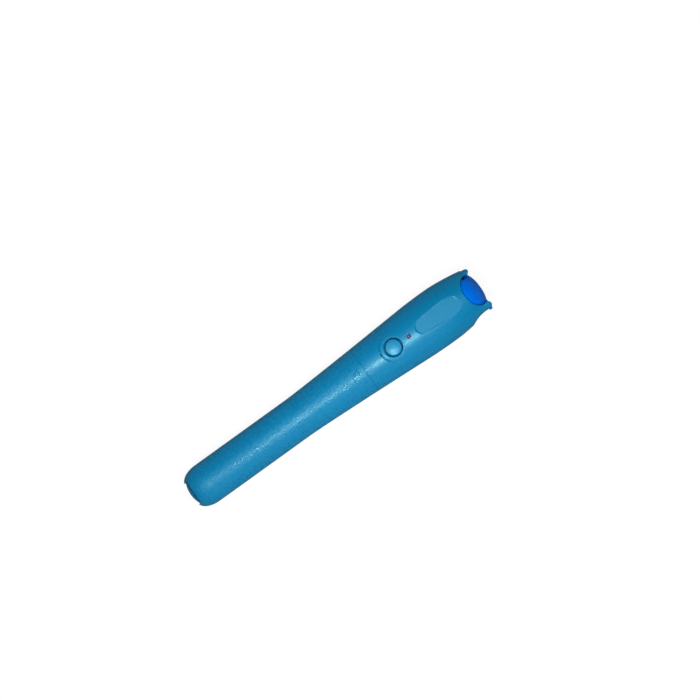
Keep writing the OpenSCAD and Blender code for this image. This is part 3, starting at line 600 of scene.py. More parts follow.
@dataclass(frozen=True)
class MouldedPlastic:
    """Tinted plastic with a fine spark-eroded grain and faint mottling.

    grip_pitch is the spacing of the grip's ticks in metres, or nought for a piece with none.
    It is coarser than the real spacing, because ticks thinner than a pixel don't show. They
    fade out at grip_end, a place along the pen in metres from the port.
    """

    name: str
    colour: str
    shade: str
    roughness: float = 0.31
    shine: float = 0.6
    sheen_colour: Colour = (0.38, 0.74, 0.7, 1.0)
    mottle_per_m: float = 55.0
    grain_per_m: float = 2600.0
    grain_depth: float = 0.03 * MM
    speckle_per_m: float = 900.0
    speckle: float = 0.03
    speckle_relief: float = 0.4
    grip_pitch: float = 0.0
    grip_lean: float = 8.0
    grip_drift: float = 16.0
    drift_per_m: float = 420.0
    patch_per_m: float = 330.0
    break_per_m: float = 480.0
    dash_relief: float = 2.0
    dash_gloss: float = 0.14
    grip_end: float = 0.0
    grip_fade: float = 5.0 * MM

    def material(self) -> bpy.types.Material:
        """Builds the node material."""
        g = Graph(self.name)
        mottle = g.noise(self.mottle_per_m, 4.0)
        g.join(g.mix(mottle, linear(self.shade), linear(self.colour)), g.shader.inputs["Base Color"])
        grain = g.noise(self.grain_per_m, 2.0)
        speckle = g.noise(self.speckle_per_m, 3.0, (1.4, 0.9, 0.9))
        dull, glossy = self.roughness + self.speckle, self.roughness - self.speckle
        roughness = g.span(speckle, dull, glossy, 0.36, 0.64)
        height = g.maths("ADD", grain, g.maths("MULTIPLY", speckle, self.speckle_relief))
        if self.grip_pitch > 0.0:
            ticks = self.ticks(g)
            on_grip = g.band(g.split()[0], -NO_LIMIT, self.grip_end, self.grip_fade)
            relief = g.maths("MULTIPLY", ticks, self.dash_relief)
            height = g.maths("ADD", height, g.maths("MULTIPLY", relief, on_grip))
            gloss = g.span(ticks, self.dash_gloss, -self.dash_gloss, 0.0, 0.8)
            roughness = g.maths("ADD", roughness, g.maths("MULTIPLY", gloss, on_grip))
        g.join(roughness, g.shader.inputs["Roughness"])
        g.bump(height, self.grain_depth)
        g.set(Specular_IOR_Level=self.shine, Specular_Tint=self.sheen_colour)
        return g.material

    def ticks(self, g: Graph) -> Socket:
        """Short ticks across the pen: waves along it that lean either way, broken up by noise.

        The phase is a turn for each pitch along the pen, plus or minus the angle round it times
        the lean, plus a drift that noise gives. Patches of noise choose between the two leans,
        and a second noise leaves the ticks out over half of the surface.
        """
        above_mean = 2.0
        x, y, z = g.split()
        angle = g.maths("MULTIPLY", g.maths("ARCTAN2", z, y), self.grip_lean)
        row = g.maths("MULTIPLY", x, 2 * math.pi / self.grip_pitch)
        drift = g.maths("MULTIPLY", g.noise(self.drift_per_m, 2.0), self.grip_drift)
        waves = [g.maths("SINE", g.maths("ADD", g.maths(way, row, angle), drift))
                 for way in ("ADD", "SUBTRACT")]
        one = g.band(g.noise(self.patch_per_m, 2.0), 0.5, above_mean, 0.06)
        other = g.maths("SUBTRACT", 1.0, one)
        mixed = g.maths("ADD", g.maths("MULTIPLY", waves[0], one), g.maths("MULTIPLY", waves[1], other))
        broken = g.band(g.noise(self.break_per_m, 1.0, (1.2, 0.8, 0.8)), 0.5, above_mean, 0.05)
        return g.maths("MULTIPLY", g.span(mixed, 0.0, 1.0, -1.0), broken)


@dataclass(frozen=True)
class SoftRubber:
    """Dense moulded rubber with a faint bloom."""

    name: str
    colour: str
    bloom: str
    roughness: float = 0.5
    sheen_colour: Colour = (0.0, 0.5, 1.0, 1.0)

    def material(self) -> bpy.types.Material:
        """Builds the node material."""
        g = Graph(self.name)
        cloud = g.noise(90.0, 5.0)
        g.join(g.mix(g.span(cloud, 0.0, 0.5), linear(self.colour), linear(self.bloom)),
               g.shader.inputs["Base Color"])
        g.join(g.span(g.noise(300.0), self.roughness - 0.08, self.roughness + 0.08),
               g.shader.inputs["Roughness"])
        g.bump(g.noise(1800.0, 2.0), 0.02 * MM)
        g.set(Specular_IOR_Level=0.3, Specular_Tint=self.sheen_colour)
        return g.material


@dataclass(frozen=True)
class BareMetal:
    """Plated, turned or drawn metal with fine marks along or round the pen."""

    name: str
    colour: str
    roughness: float = 0.25
    marks_per_m: float = 2500.0
    stretch: tuple[float, float, float] = (0.05, 1.0, 1.0)
    mark_depth: float = 0.004 * MM

    def material(self) -> bpy.types.Material:
        """Builds the node material."""
        g = Graph(self.name)
        tarnish = g.noise(250.0, 4.0)
        base = linear(self.colour)
        dull = tuple(0.75 * v for v in base[:3]) + (1.0,)
        g.join(g.mix(g.span(tarnish, 0.0, 0.6), base, dull), g.shader.inputs["Base Color"])
        marks = g.noise(self.marks_per_m, 3.0, self.stretch)
        g.join(g.span(marks, self.roughness - 0.08, self.roughness + 0.1), g.shader.inputs["Roughness"])
        g.bump(marks, self.mark_depth)
        g.set(Metallic=1.0)
        return g.material


@dataclass(frozen=True)
class PlainMoulding:
    """Small unpainted moulding, ceramic or laminate with a slight variation of tone."""

    name: str
    colour: str
    shade: str
    roughness: float = 0.5
    grain_per_m: float = 1500.0
    grain_depth: float = 0.01 * MM

    def material(self) -> bpy.types.Material:
        """Builds the node material."""
        g = Graph(self.name)
        g.join(g.mix(g.noise(400.0, 4.0), linear(self.shade), linear(self.colour)),
               g.shader.inputs["Base Color"])
        g.join(g.span(g.noise(700.0), self.roughness - 0.1, self.roughness + 0.1),
               g.shader.inputs["Roughness"])
        g.bump(g.noise(self.grain_per_m, 2.0), self.grain_depth)
        return g.material


@dataclass(frozen=True)
class ClearGlass:
    """Tinted or clear glass or resin, with a dark core and a painted glint in its middle where core_r is
    given.
    """

    name: str
    colour: str
    roughness: float = 0.03
    through: float = 1.0
    core_colour: str = "#3A2A4A"
    core_r: float = 0.0
    core_x: float = 0.0
    painted_glint_colour: str = "#A9A2BC"
    painted_glint_share: float = 0.5

    def material(self) -> bpy.types.Material:
        """Builds the node material."""
        g = Graph(self.name)
        streak = g.noise(600.0)
        base = linear(self.colour)
        deep = tuple(0.9 * v for v in base[:3]) + (1.0,)
        g.join(g.mix(streak, base, deep), g.shader.inputs["Base Color"])
        g.set(Roughness=self.roughness, IOR=1.5, Transmission_Weight=self.through)
        if self.core_r > 0.0:
            x, y, _ = g.split()
            away = g.away(g.maths("SUBTRACT", x, self.core_x), y)
            inside = g.band(away, -NO_LIMIT, self.core_r, 0.1 * MM)
            # The pale spot in the middle of the dark core is a painted glint: a highlight painted into the
            # colour.
            painted_glint = g.band(away, -NO_LIMIT, self.core_r * self.painted_glint_share, 0.06 * MM)
            core = g.mix(painted_glint, linear(self.core_colour), linear(self.painted_glint_colour))
            g.join(g.mix(inside, base, core), g.shader.inputs["Base Color"])
        return g.material


@dataclass(frozen=True)
class CellWrap:
    """Wrap of a cell: a plain pale film sleeve with a slate band, and bare metal at both ends."""

    name: str
    start: float
    length: float
    sleeve: str = "#C3C7CB"
    shade: str = "#B6BBC0"
    band: str = "#4F6275"
    metal: str = "#C4C2BC"
    band_length: float = 5.0 * MM
    line_gap: float = 0.8 * MM
    line_length: float = 0.7 * MM
    crimp_r: float = 5.6 * MM

    def material(self) -> bpy.types.Material:
        """Builds the node material."""
        g = Graph(self.name)
        x, y, z = g.split()
        edge = self.start + self.length - self.band_length
        line_end = edge - self.line_gap
        wide_band = g.band(x, edge, NO_LIMIT, 0.05 * MM)
        line = g.band(x, line_end - self.line_length, line_end, 0.04 * MM)
        tone = g.mix(g.noise(500.0, 4.0), linear(self.sleeve), linear(self.shade))
        wrap = g.mix(g.maths("MAXIMUM", wide_band, line), tone, linear(self.band))
        wide = g.band(g.away(y, z), self.crimp_r, NO_LIMIT, 0.08 * MM)
        g.join(g.mix(wide, linear(self.metal), wrap), g.shader.inputs["Base Color"])
        g.join(g.maths("SUBTRACT", 1.0, wide), g.shader.inputs["Metallic"])
        g.join(g.span(g.noise(900.0), 0.2, 0.34), g.shader.inputs["Roughness"])
        g.bump(g.noise(1500.0, 2.0), 0.006 * MM)
        return g.material


@dataclass(frozen=True)
class RuledLabel:
    """Film label with a generic layout: black frame, ruled white field, red bar and a dark column."""

    name: str
    start: float = -49.8 * MM
    length: float = 30.0 * MM
    width: float = 14.0 * MM
    frame: float = 0.6 * MM
    column: float = 7.6 * MM
    bar: float = 5.6 * MM
    soft: float = 0.05 * MM
    line_pitch: float = 1.15 * MM
    column_pitch: float = 1.3 * MM
    white: str = "#E9EAE6"
    white_shade: str = "#DDDFDA"
    black: str = "#141719"
    red: str = "#D8251C"
    rule_grey: str = "#6E7478"
    box_grey: str = "#7B8B90"
    pale_rule: str = "#B9C0C2"

    def material(self) -> bpy.types.Material:
        """Builds the node material: each printed area covers those before it."""
        g = Graph(self.name)
        x, y, _ = g.split()
        half, start, end = self.width / 2, self.start, self.start + self.length
        split, bar_foot, soft = end - self.column, half - self.bar - self.frame, self.soft
        paper = g.mix(g.noise(900.0, 3.0), linear(self.white), linear(self.white_shade))
        white_field = g.patch((x, start + self.frame, split - self.frame),
                              (y, self.frame - half, half - self.frame), soft)
        dark_top = g.patch((x, start, split), (y, bar_foot, NO_LIMIT), soft)
        red_bar = g.patch((x, start + 1.6 * MM, split - 1.6 * MM),
                          (y, bar_foot + 1.0 * MM, half - self.frame - 1.0 * MM), soft)
        rules = g.maths("MULTIPLY", g.waves(y, self.line_pitch, 0.55),
                        g.patch((x, start + 8.0 * MM, split - 2.0 * MM),
                                (y, 1.4 * MM - half, half - self.bar - 1.8 * MM), soft))
        red_square = g.patch((x, start + 2.6 * MM, start + 5.4 * MM), (y, -4.4 * MM, -1.6 * MM), soft)
        grey_box = g.patch((x, split + 1.3 * MM, end - 1.5 * MM),
                           (y, half - 6.4 * MM, half - 1.6 * MM), soft)
        pale_rules = g.maths("MULTIPLY", g.waves(x, self.column_pitch, 0.6),
                             g.patch((x, split + 1.2 * MM, end - 1.4 * MM),
                                     (y, 1.8 * MM - half, half - 7.8 * MM), soft))
        colour: Colour | Socket = g.mix(white_field, linear(self.black), paper)
        for area, ink in ((dark_top, self.black), (red_bar, self.red), (rules, self.rule_grey),
                          (red_square, self.red), (grey_box, self.box_grey), (pale_rules, self.pale_rule)):
            colour = g.mix(area, colour, linear(ink))
        g.join(colour, g.shader.inputs["Base Color"])
        g.join(g.span(g.noise(300.0), 0.3, 0.42), g.shader.inputs["Roughness"])
        g.bump(g.noise(2200.0, 2.0), 0.006 * MM)
        g.set(Specular_IOR_Level=0.4)
        return g.material


Finish = MouldedPlastic | SoftRubber | BareMetal | PlainMoulding | ClearGlass | CellWrap | RuledLabel


@dataclass(frozen=True)
class Finishes:
    """Every finish of the pen, named for what it is made of."""

    # ABS, moulded against a finely eroded tool: a soft wide highlight broken by grain. The grip's
    # part of the tool was scored too, so that its streak is broken by short leaning ticks.
    grip: MouldedPlastic = MouldedPlastic("textured_moulded_abs", "#0076A5", "#00709D", speckle=0.04,
                                          speckle_relief=0.5, grip_pitch=1.4 * MM, grip_end=-72.0 * MM)
    # ABS, moulded against a smoother tool: a paler crown with a softer, rounder highlight.
    button: MouldedPlastic = MouldedPlastic("smooth_moulded_abs", "#067CAE", "#0577A6", roughness=0.36,
                                            shine=0.8)
    # Thermoplastic rubber, moulded matt: a deep even blue with next to no highlight.
    cap: SoftRubber = SoftRubber("moulded_blue_rubber", "#0060CC", "#0066D2")
    # Steel with clear zinc plate: a grey, slightly cloudy shine.
    steel: BareMetal = BareMetal("zinc_plated_steel", "#B9B9BD", 0.35)
    # Turned brass under bright nickel: a warm mirror with fine turning lines.
    nickel: BareMetal = BareMetal("nickel_plated_brass", "#C9C6C0", 0.16)
    # Brass as it leaves the lathe: yellow, with wider highlights along the turning.
    brass: BareMetal = BareMetal("turned_brass", "#C79A4B", 0.3)
    # Gold plate on the diode's header and can: a rich yellow, smooth shine.
    gilt: BareMetal = BareMetal("gold_plated_steel", "#D9B25A", 0.25)
    # Nickel plated spring steel, drawn or stamped: a pale warm grey shine.
    spring: BareMetal = BareMetal("plated_spring_steel", "#BDB8AE", 0.3)
    # Aluminium, turned and anodised black: almost black, with a satin edge.
    black_aluminium: BareMetal = BareMetal("black_anodised_aluminium", "#1B1B1D", 0.4)
    # Epoxy and nylon bodies of small parts, moulded: matt black.
    black: PlainMoulding = PlainMoulding("moulded_black_epoxy", "#17181A", "#0E0F10", 0.45)
    # Glass epoxy board under green lacquer: a dark green with a slight gloss.
    board: PlainMoulding = PlainMoulding("lacquered_glass_epoxy", "#0E5A32", "#0A4A28", 0.35)
    # Fired ceramic of chip parts: a dull tan.
    parts: PlainMoulding = PlainMoulding("fired_tan_ceramic", "#8A7355", "#75603F", 0.4)
    # Zirconia, ground and polished: a dense white with a clean highlight.
    ceramic: PlainMoulding = PlainMoulding("ground_white_zirconia", "#EFEDE6", "#E2DFD6", 0.18)
    # Polyester film, printed in flat inks: a half-matt black, white and red, all in one plane.
    label: RuledLabel = RuledLabel("printed_polyester_film")
    # Optical glass, ground: nearly clear, with bright edges.
    lens: ClearGlass = ClearGlass("ground_optical_glass", "#F4FAFF")
    # Red epoxy, cast round the lamp's chip: a dark rim, with a painted glint as a paler spot in the middle.
    lamp: ClearGlass = ClearGlass("cast_red_epoxy", "#CC3640", 0.25, 0.1, "#140A1E", core_r=0.62 * MM,
                                  core_x=-45.3 * MM)


def dress(obj: bpy.types.Object, finish: Finish) -> None:
    """Gives a piece its finish, which is made once."""
    obj.data.materials.clear()
    obj.data.materials.append(bpy.data.materials.get(finish.name) or finish.material())


# Shells of the housing


@dataclass(frozen=True)
class Mouth:
    """The open mouth between the horns, and the slots in the horns."""

    horn_gap: float = 19.8
    scoop_r: float = 10.34
    scoop_rise: float = 7.5
    bore_r: float = 8.5
    strap_slot: float = 9.8
    slot_floor: float = 203.48
    tab_floor: float = 204.05
    plug_y: float = -11.1
    plug_t: float = 0.8
    plug_w: float = 6.8
    plug_length: float = 3.6
    plug_room: float = 0.3
    edge_r: float = 0.55
    floor_r: float = 0.3
    anchor_web: Corners = ((199.6, 10.95, -3.93), (203.6, 12.58, 3.93))
    anchor_foot: Corners = ((199.55, 10.52, -3.93), (201.0, 13.0, 3.93))
    at: Stations = field(default_factory=Stations)

    def opening(self, p: Array, inset: float = 0.0) -> Array:
        """Distance to the opening: a bore, two balls above and below, and a slab between the horns."""
        at = self.at
        bore = rod(p, at.nose_face + inset, at.tip + CLEAR, self.bore_r - inset)
        scoops = ball(mirrored(p, 2), (at.scoop, 0.0, self.scoop_rise), self.scoop_r - inset)
        half = self.horn_gap / 2 - inset
        gap = block(p, (at.scoop + inset, -half, -OUTSIDE), (at.tip + CLEAR, half, OUTSIDE))
        return joined(joined(scoops, bore, self.floor_r), gap)

    def slots(self, p: Array) -> Array:
        """Distance to the tab's recess, the plug's mortise and the strap's seat."""
        half, tip, room = self.strap_slot / 2, self.at.tip + CLEAR, self.plug_room
        recess = block(p, (self.tab_floor, -OUTSIDE, -half), (tip, 1.0 - self.horn_gap / 2, half),
                       self.floor_r)
        w = self.plug_w / 2 + room
        deep, side = self.tab_floor - self.plug_length - room, self.plug_y - self.plug_t - 2 * room
        mortise = block(p, (deep, side, -w), (self.tab_floor + 1.0, self.plug_y + room, w), room / 2)
        seat = joined(block(p, *self.anchor_web), block(p, *self.anchor_foot))
        return joined(recess, joined(mortise, seat))

    def strap_way(self, p: Array) -> Array:
        """Distance to the slot in the hinge horn."""
        half = self.strap_slot / 2
        return block(p, (self.slot_floor, self.horn_gap / 2 - 1.0, -half),
                     (self.at.tip + CLEAR, OUTSIDE, half), self.floor_r)


@dataclass(frozen=True)
class Shells:
    """The two halves of the housing and the sliding cover."""

    skin: Skin = field(default_factory=Skin)
    mouth: Mouth = field(default_factory=Mouth)
    at: Stations = field(default_factory=Stations)
    wall: float = 2.0
    seam_r: float = 0.06
    seam_gap: float = 0.03
    cover_edge_r: float = 0.1
    hinge_tip_r: float = 1.6
    hinge_tip_x: float = 205.3
    hinge_tip_y: float = 11.62
    hinge_swell: float = 0.65
    horn_clip_r: float = 14.7
    horn_edge_r: float = 0.7
    post_edge_r: float = 0.4
    cavity_edge_r: float = 0.8
    latch_post_r: float = 2.0
    latch_post_y: float = 11.85
    nail_r: float = 17.5
    nail_x: float = 201.7
    nail_y: float = -30.84
    nail_edge_r: float = 0.6
    barrel_bore_r: float = 4.53
    barrel_seat_x: float = 166.0
    bay: tuple[float, float] = (8.1, 112.6)
    bay_r: float = 7.35
    cells: tuple[float, float] = (11.6, 112.6)
    cradles: int = 4
    cradle_t: float = 1.8
    strip_channel: Corners = ((4.2, -2.3, -10.6), (126.5, 2.3, -10.0))
    strip_rise: Corners = ((4.2, -2.3, -10.6), (5.6, 2.3, -1.0))
    tail_wall: Corners = ((2.0, -5.6, -OUTSIDE), (4.2, 5.6, -0.05))
    front_wall: Corners = ((113.0, -6.6, -OUTSIDE), (114.8, 6.6, 5.6))
    saddle: Corners = ((167.0, -5.5, -OUTSIDE), (168.8, 5.5, -2.25))
    board_posts_x: tuple[float, float] = (129.7, 161.8)
    board_post_y: float = 7.02
    board_post_top: float = -1.5
    board_post_r: float = 1.6
    pillar_r: float = 2.95
    notch_w: float = 14.4
    notch_depth: float = 3.6
    tongue_sink: float = 0.9
    arrow_side: float = 3.6
    arrow_rise: float = 0.3
    arrow_behind: float = 4.0
    arrow_slope: float = 0.5
    screw_x: float = 175.0
    screw_y: float = 10.3
    recess_r: float = 3.4
    screw_seat: float = 9.0
    boss_wall: float = 1.7
    shank_r: float = 1.28
    label_x: float = 152.5
    label_length: float = 30.0
    label_w: float = 14.0
    label_t: float = 0.2
    label_pad_z: float = 14.6
    label_pad_w: float = 16.0
    label_margin: float = 3.6
    pad_length: float = 30.6
    pad_rear_w: float = 9.4
    pad_front_w: float = 12.8
    pad_z: float = 15.75
    pad_tilt: float = 0.015
    pad_edge_r: float = 0.25
    pad_hollow_r: float = 0.9
    pad_lean: float = 0.55
    button_hole_r: float = 5.7
    bezel_lean: float = 0.6
    groove_depth: float = 0.3
    groove_half_w: float = 0.25
    bezel_r: float = 8.0
    lamp_hole_r: float = 1.1
    bezel_sides: int = 128
    rail_y: float = 10.0
    rail_x: float = 13.5
    rail_end: float = 77.0
    rail_h: float = 2.2
    lip_reach: float = 4.0
    lip_t: tuple[float, float] = (1.0, 3.5)
    lip_spread_deg: float = 60.0
    lip_gap: float = 5.5

    def solid_head(self, p: Array) -> Array:
        """The skin cut off flat at the horns' faces and hollowed, with a round inner end."""
        outer = both(self.skin.distance(p), p[..., 0] - self.at.horn_face, self.horn_edge_r)
        hollow = both(self.skin.distance(p, self.wall), p[..., 0] - self.at.cavity_end, self.cavity_edge_r)
        return cut(outer, hollow)

    def horn_tips(self, p: Array) -> Array:
        """Rounded posts at the ends of the horns, above and below their slots."""
        half = self.mouth.strap_slot / 2
        folded = mirrored(p, 2)
        rear_x, rear_y = self.mouth.slot_floor - self.hinge_tip_r, self.hinge_tip_y + self.hinge_swell
        run_x, run_y = self.hinge_tip_x - rear_x, self.hinge_tip_y - rear_y
        ahead, aside = folded[..., 0] - rear_x, folded[..., 1] - rear_y
        share = np.clip((ahead * run_x + aside * run_y) / (run_x**2 + run_y**2), 0.0, 1.0)
        outline = np.hypot(ahead - share * run_x, aside - share * run_y) - self.hinge_tip_r
        hinge = both(outline, half - folded[..., 2], self.post_edge_r)
        latch = post(folded, self.at.tip - self.latch_post_r, -self.latch_post_y, half, OUTSIDE,
                     self.latch_post_r, self.post_edge_r)
        clip = rod(p, self.at.tip - CLEAR, self.at.tip + CLEAR, self.horn_clip_r)
        posts = both(joined(hinge, latch), clip, 0.5)
        return both(posts, self.mouth.slot_floor - p[..., 0])

    def open_front(self, p: Array, solid: Array) -> Array:
        """A head with its mouth, slots, bulkhead bore and fingernail hollow cut and its tips added."""
        m = self.mouth
        solid = cut(solid, m.opening(p), m.edge_r)
        solid = joined(solid, self.horn_tips(p), 0.6)
        solid = cut(cut(solid, m.strap_way(p), 0.5), m.slots(p), 0.25)
        nail = post(p, self.nail_x, self.nail_y, -OUTSIDE, OUTSIDE, self.nail_r)
        solid = cut(solid, nail, self.nail_edge_r)
        bore = rod(p, self.at.cavity_end - 1.0, self.at.nose_face + 1.0, self.barrel_bore_r)
        return cut(solid, bore, 0.2)

    def bottom(self, p: Array) -> Array:
        """Distance to the lower half of the housing."""
        at = self.at
        inner = self.skin.distance(p, self.wall / 2)
        solid = self.open_front(p, self.solid_head(p))
        solid = both(solid, p[..., 2] + self.seam_gap / 2, self.seam_r)
        solid = joined(solid, both(self.lower_fittings(p), inner), 0.3)
        solid = cut(solid, rod(p, *self.bay, self.bay_r), 0.2)
        solid = cut(solid, rod(p, self.barrel_seat_x, at.cavity_end + 0.5, self.barrel_bore_r))
        solid = cut(cut(solid, block(p, *self.strip_channel)), block(p, *self.strip_rise))
        solid = joined(solid, self.rails(p))
        solid = joined(cut(solid, self.fingertip_hollow(p), 0.25), self.tongue(p))
        folded, screw = mirrored(p, 1), (self.screw_x, self.screw_y)
        solid = cut(solid, post(folded, *screw, -OUTSIDE, -self.screw_seat, self.recess_r), 0.4)
        solid = cut(solid, post(folded, *screw, -OUTSIDE, 3.0, self.shank_r))
        outline = stadium(p[..., 0], p[..., 1], self.label_x - self.label_margin,
                          self.label_length + 2 * self.label_margin + 2.0,
                          self.label_pad_w, self.label_pad_w)
        solid = cut(solid, both(outline, p[..., 2] + self.label_pad_z, 0.3), 0.4)
        room = 0.1
        half = self.label_w / 2 + room
        bed = block(p, (self.label_x - room, -half, -OUTSIDE),
                    (self.label_x + self.label_length + room, half, self.label_t - self.label_pad_z))
        return cut(solid, bed)

    def lower_fittings(self, p: Array) -> Array:
        """Cradles, walls, posts, saddle and screw pillars before they are trimmed to the skin."""
        foot, under_seam = -OUTSIDE, -0.05
        first, last = self.cells
        share = (np.arange(self.cradles) + 0.5) / self.cradles
        parts = [block(p, (x, foot, foot), (x + self.cradle_t, OUTSIDE, under_seam))
                 for x in first + (last - first) * share - self.cradle_t / 2]
        parts.append(block(p, *self.front_wall, 0.2))
        parts += [block(p, *self.tail_wall), block(p, *self.saddle)]
        parts.append(block(p, (self.label_x - 5.6, -10.0, foot),
                           (self.at.cavity_end, 10.0, 2.0 - self.label_pad_z)))
        folded, screw = mirrored(p, 1), (self.screw_x, self.screw_y)
        parts += [post(folded, x, self.board_post_y, foot, self.board_post_top, self.board_post_r)
                  for x in self.board_posts_x]
        parts.append(post(folded, *screw, foot, under_seam, self.pillar_r))
        parts.append(post(folded, *screw, foot, self.boss_wall - self.screw_seat,
                          self.recess_r + self.boss_wall))
        return np.minimum.reduce(parts)

    def rails(self, p: Array) -> Array:
        """Rails beside the open bay, each with a bead that holds the cover."""
        folded = mirrored(p, 1)
        y, x0, x1 = self.rail_y, self.rail_x, self.rail_end
        rail = block(folded, (x0, y - 1.0, -2.0), (x1, y, self.rail_h), 0.2)
        root = block(folded, (x0, y - 1.0, -2.0), (x1, 11.1, -0.05))
        bead = block(folded, (x0, y - 0.5, self.rail_h - 0.8), (x1, y + 0.5, self.rail_h), 0.2)
        return joined(joined(rail, root), bead, 0.1)

    def tongue(self, p: Array) -> Array:
        """Tongue of the lower half that stands in the cover's notch."""
        half = self.notch_w / 2 - 0.3
        slab = block(p, (-2.0, -half, -1.0), (self.notch_depth - 0.3, half, 20.0), 0.3)
        return both(both(slab, self.skin.distance(p, self.tongue_sink)), rod(p, -2.0, 7.2, 10.2), 0.4)

    def fingertip_hollow(self, p: Array) -> Array:
        """Shallow hollow in the tail's dome under the tongue."""
        half = self.notch_w / 2
        pocket = block(p, (-2.0, -half, -half), (self.notch_depth, half, 1.0), 0.5)
        return cut(pocket, self.skin.distance(p, self.tongue_sink))

    def top(self, p: Array) -> Array:
        """Distance to the upper half of the head."""
        at = self.at
        solid = joined(self.solid_head(p), self.roof(p), 0.5)
        solid = self.open_front(p, solid)
        upper = self.seam_gap / 2 - p[..., 2]
        front = at.cover_front + 0.01 - p[..., 0]
        solid = both(both(solid, front, self.cover_edge_r), upper, self.seam_r)
        folded = mirrored(p, 1)
        pillar = post(folded, self.screw_x, self.screw_y, 0.05, 20.0, self.pillar_r)
        solid = joined(solid, both(pillar, self.skin.distance(p, 1.0)), 0.3)
        solid = joined(solid, self.lip(p))
        around = np.abs(np.hypot(p[..., 0] - at.button, p[..., 1]) - self.bezel_r - self.groove_half_w)
        depth = self.groove_depth * np.clip((at.button - 1.0 - p[..., 0]) / 5.0, -1.0, 1.0)
        groove = both(around - self.groove_half_w, -self.skin.distance(p) - depth)
        solid = cut(solid, both(groove, -p[..., 2]), 0.15)
        solid = cut(solid, post(p, at.button, 0.0, 0.0, OUTSIDE, self.button_hole_r), 0.25)
        solid = cut(solid, post(p, at.lamp, 0.0, 0.0, OUTSIDE, self.lamp_hole_r), 0.15)
        solid = cut(solid, post(folded, self.screw_x, self.screw_y, -1.0, 5.0, self.shank_r))
        outline = stadium(p[..., 0], p[..., 1], at.pad, self.pad_length, self.pad_rear_w, self.pad_front_w)
        share = np.clip((at.pad + self.pad_length - p[..., 0]) / self.pad_length, 0.0, 1.0)
        floor = self.pad_z + self.pad_lean * share - self.pad_tilt * p[..., 1]
        return cut(solid, both(outline, floor - p[..., 2], self.pad_hollow_r), self.pad_edge_r)

    def roof(self, p: Array) -> Array:
        """Thick roof behind the thumb pad."""
        half = 8.4
        slab = block(p, (self.at.pad - 2.0, -half, self.pad_z - 2.0),
                     (self.at.cavity_end + 1.0, half, OUTSIDE))
        return both(slab, self.skin.distance(p, 1.0))

    def lip(self, p: Array) -> Array:
        """Lip of the upper head that reaches under the cover's front edge, above a wedge's sides."""
        top, foot = self.lip_t
        inside = self.skin.distance(p, foot)
        under = both(cut(self.skin.distance(p, self.wall + 0.3), inside),
                     np.abs(p[..., 0] - self.at.cover_front) - self.lip_reach, 0.2)
        root = both(cut(self.skin.distance(p, top), inside),
                    np.abs(p[..., 0] - self.at.cover_front - 1.2) - 1.0)
        spread = math.radians(self.lip_spread_deg)
        wedge = np.abs(p[..., 1]) * math.cos(spread) - p[..., 2] * math.sin(spread)
        return both(joined(under, root), wedge + self.lip_gap)

    def cover(self, p: Array) -> Array:
        """Distance to the battery cover."""
        at = self.at
        front = p[..., 0] - at.cover_front + 0.02
        outer = both(self.skin.distance(p), front, self.cover_edge_r)
        inner = both(self.skin.distance(p, self.wall), self.wall - p[..., 0])
        solid = cut(outer, inner, 0.15)
        solid = both(solid, self.seam_gap / 2 - p[..., 2], self.seam_r)
        half = self.notch_w / 2
        solid = cut(solid, block(p, (-3.0, -half, -3.0), (self.notch_depth, half, OUTSIDE), 0.6), 0.25)
        folded = mirrored(p, 1)
        groove = block(folded, (self.rail_x - 0.3, 0.0, self.rail_h - 1.1),
                       (at.cover_front + 3.0, self.rail_y + 0.8, self.rail_h + 0.3), 0.15)
        solid = cut(solid, groove)
        return joined(solid, self.arrow(p), 0.08)

    def arrow(self, p: Array) -> Array:
        """Raised triangle that points towards the tail."""
        tip = self.at.cover_front - self.arrow_behind - self.arrow_side
        along, lean = p[..., 0] - tip, math.atan(self.arrow_slope)
        sides = np.abs(p[..., 1]) * math.cos(lean) - along * math.sin(lean)
        flat = both(sides, along - self.arrow_side, 0.1)
        layer = both(self.skin.distance(p, -self.arrow_rise), -self.skin.distance(p, 1.0))
        return both(both(flat, layer, 0.12), -p[..., 2])

    def build(self, finishes: Finishes) -> None:
        """Meshes the three shells and dresses them.

        Args:
            finishes: the pen's finishes.
        """
        fine, plain = 0.34, 1.3
        y_axis = graded((-17.6, STEP), (17.6, STEP))
        narrow_y = graded((-15.2, STEP), (15.2, STEP))
        full_x = graded((-0.5, fine), (15.0, plain), (143.0, 0.5), (148.0, fine), (208.4, fine))
        head_x = graded((124.6, 0.14), (126.0, 0.5), (137.0, STEP), (208.4, STEP))
        top_x = np.concatenate([graded((120.6, 0.4), (124.6, 0.14)), head_x[1:]])
        cover_x = graded((-0.5, fine), (12.0, 1.2), (114.0, 0.35), (123.6, SEAM_STEP), (125.4, SEAM_STEP))
        up_z = graded((-0.3, SEAM_STEP), (0.6, STEP), (17.6, STEP))
        low_z = graded((-17.6, STEP), (-0.6, SEAM_STEP), (0.24, STEP), (10.8, STEP))
        for name, node, solid, axes, body in (
            ("housing_lower_half", "bottom_shell", self.bottom, (full_x, y_axis, low_z), Body.HOUSING),
            ("housing_upper_half", "top_shell", self.top, (top_x, y_axis, up_z), Body.HOUSING),
            ("sliding_battery_cover", "battery_cover", self.cover, (cover_x, narrow_y, up_z), Body.COVER),
        ):
            obj = moulded(name, solid, axes, self.at.port)
            dress(obj, finishes.grip)
            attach(obj, body.value)
            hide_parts(node)
        self.build_bezel(finishes)

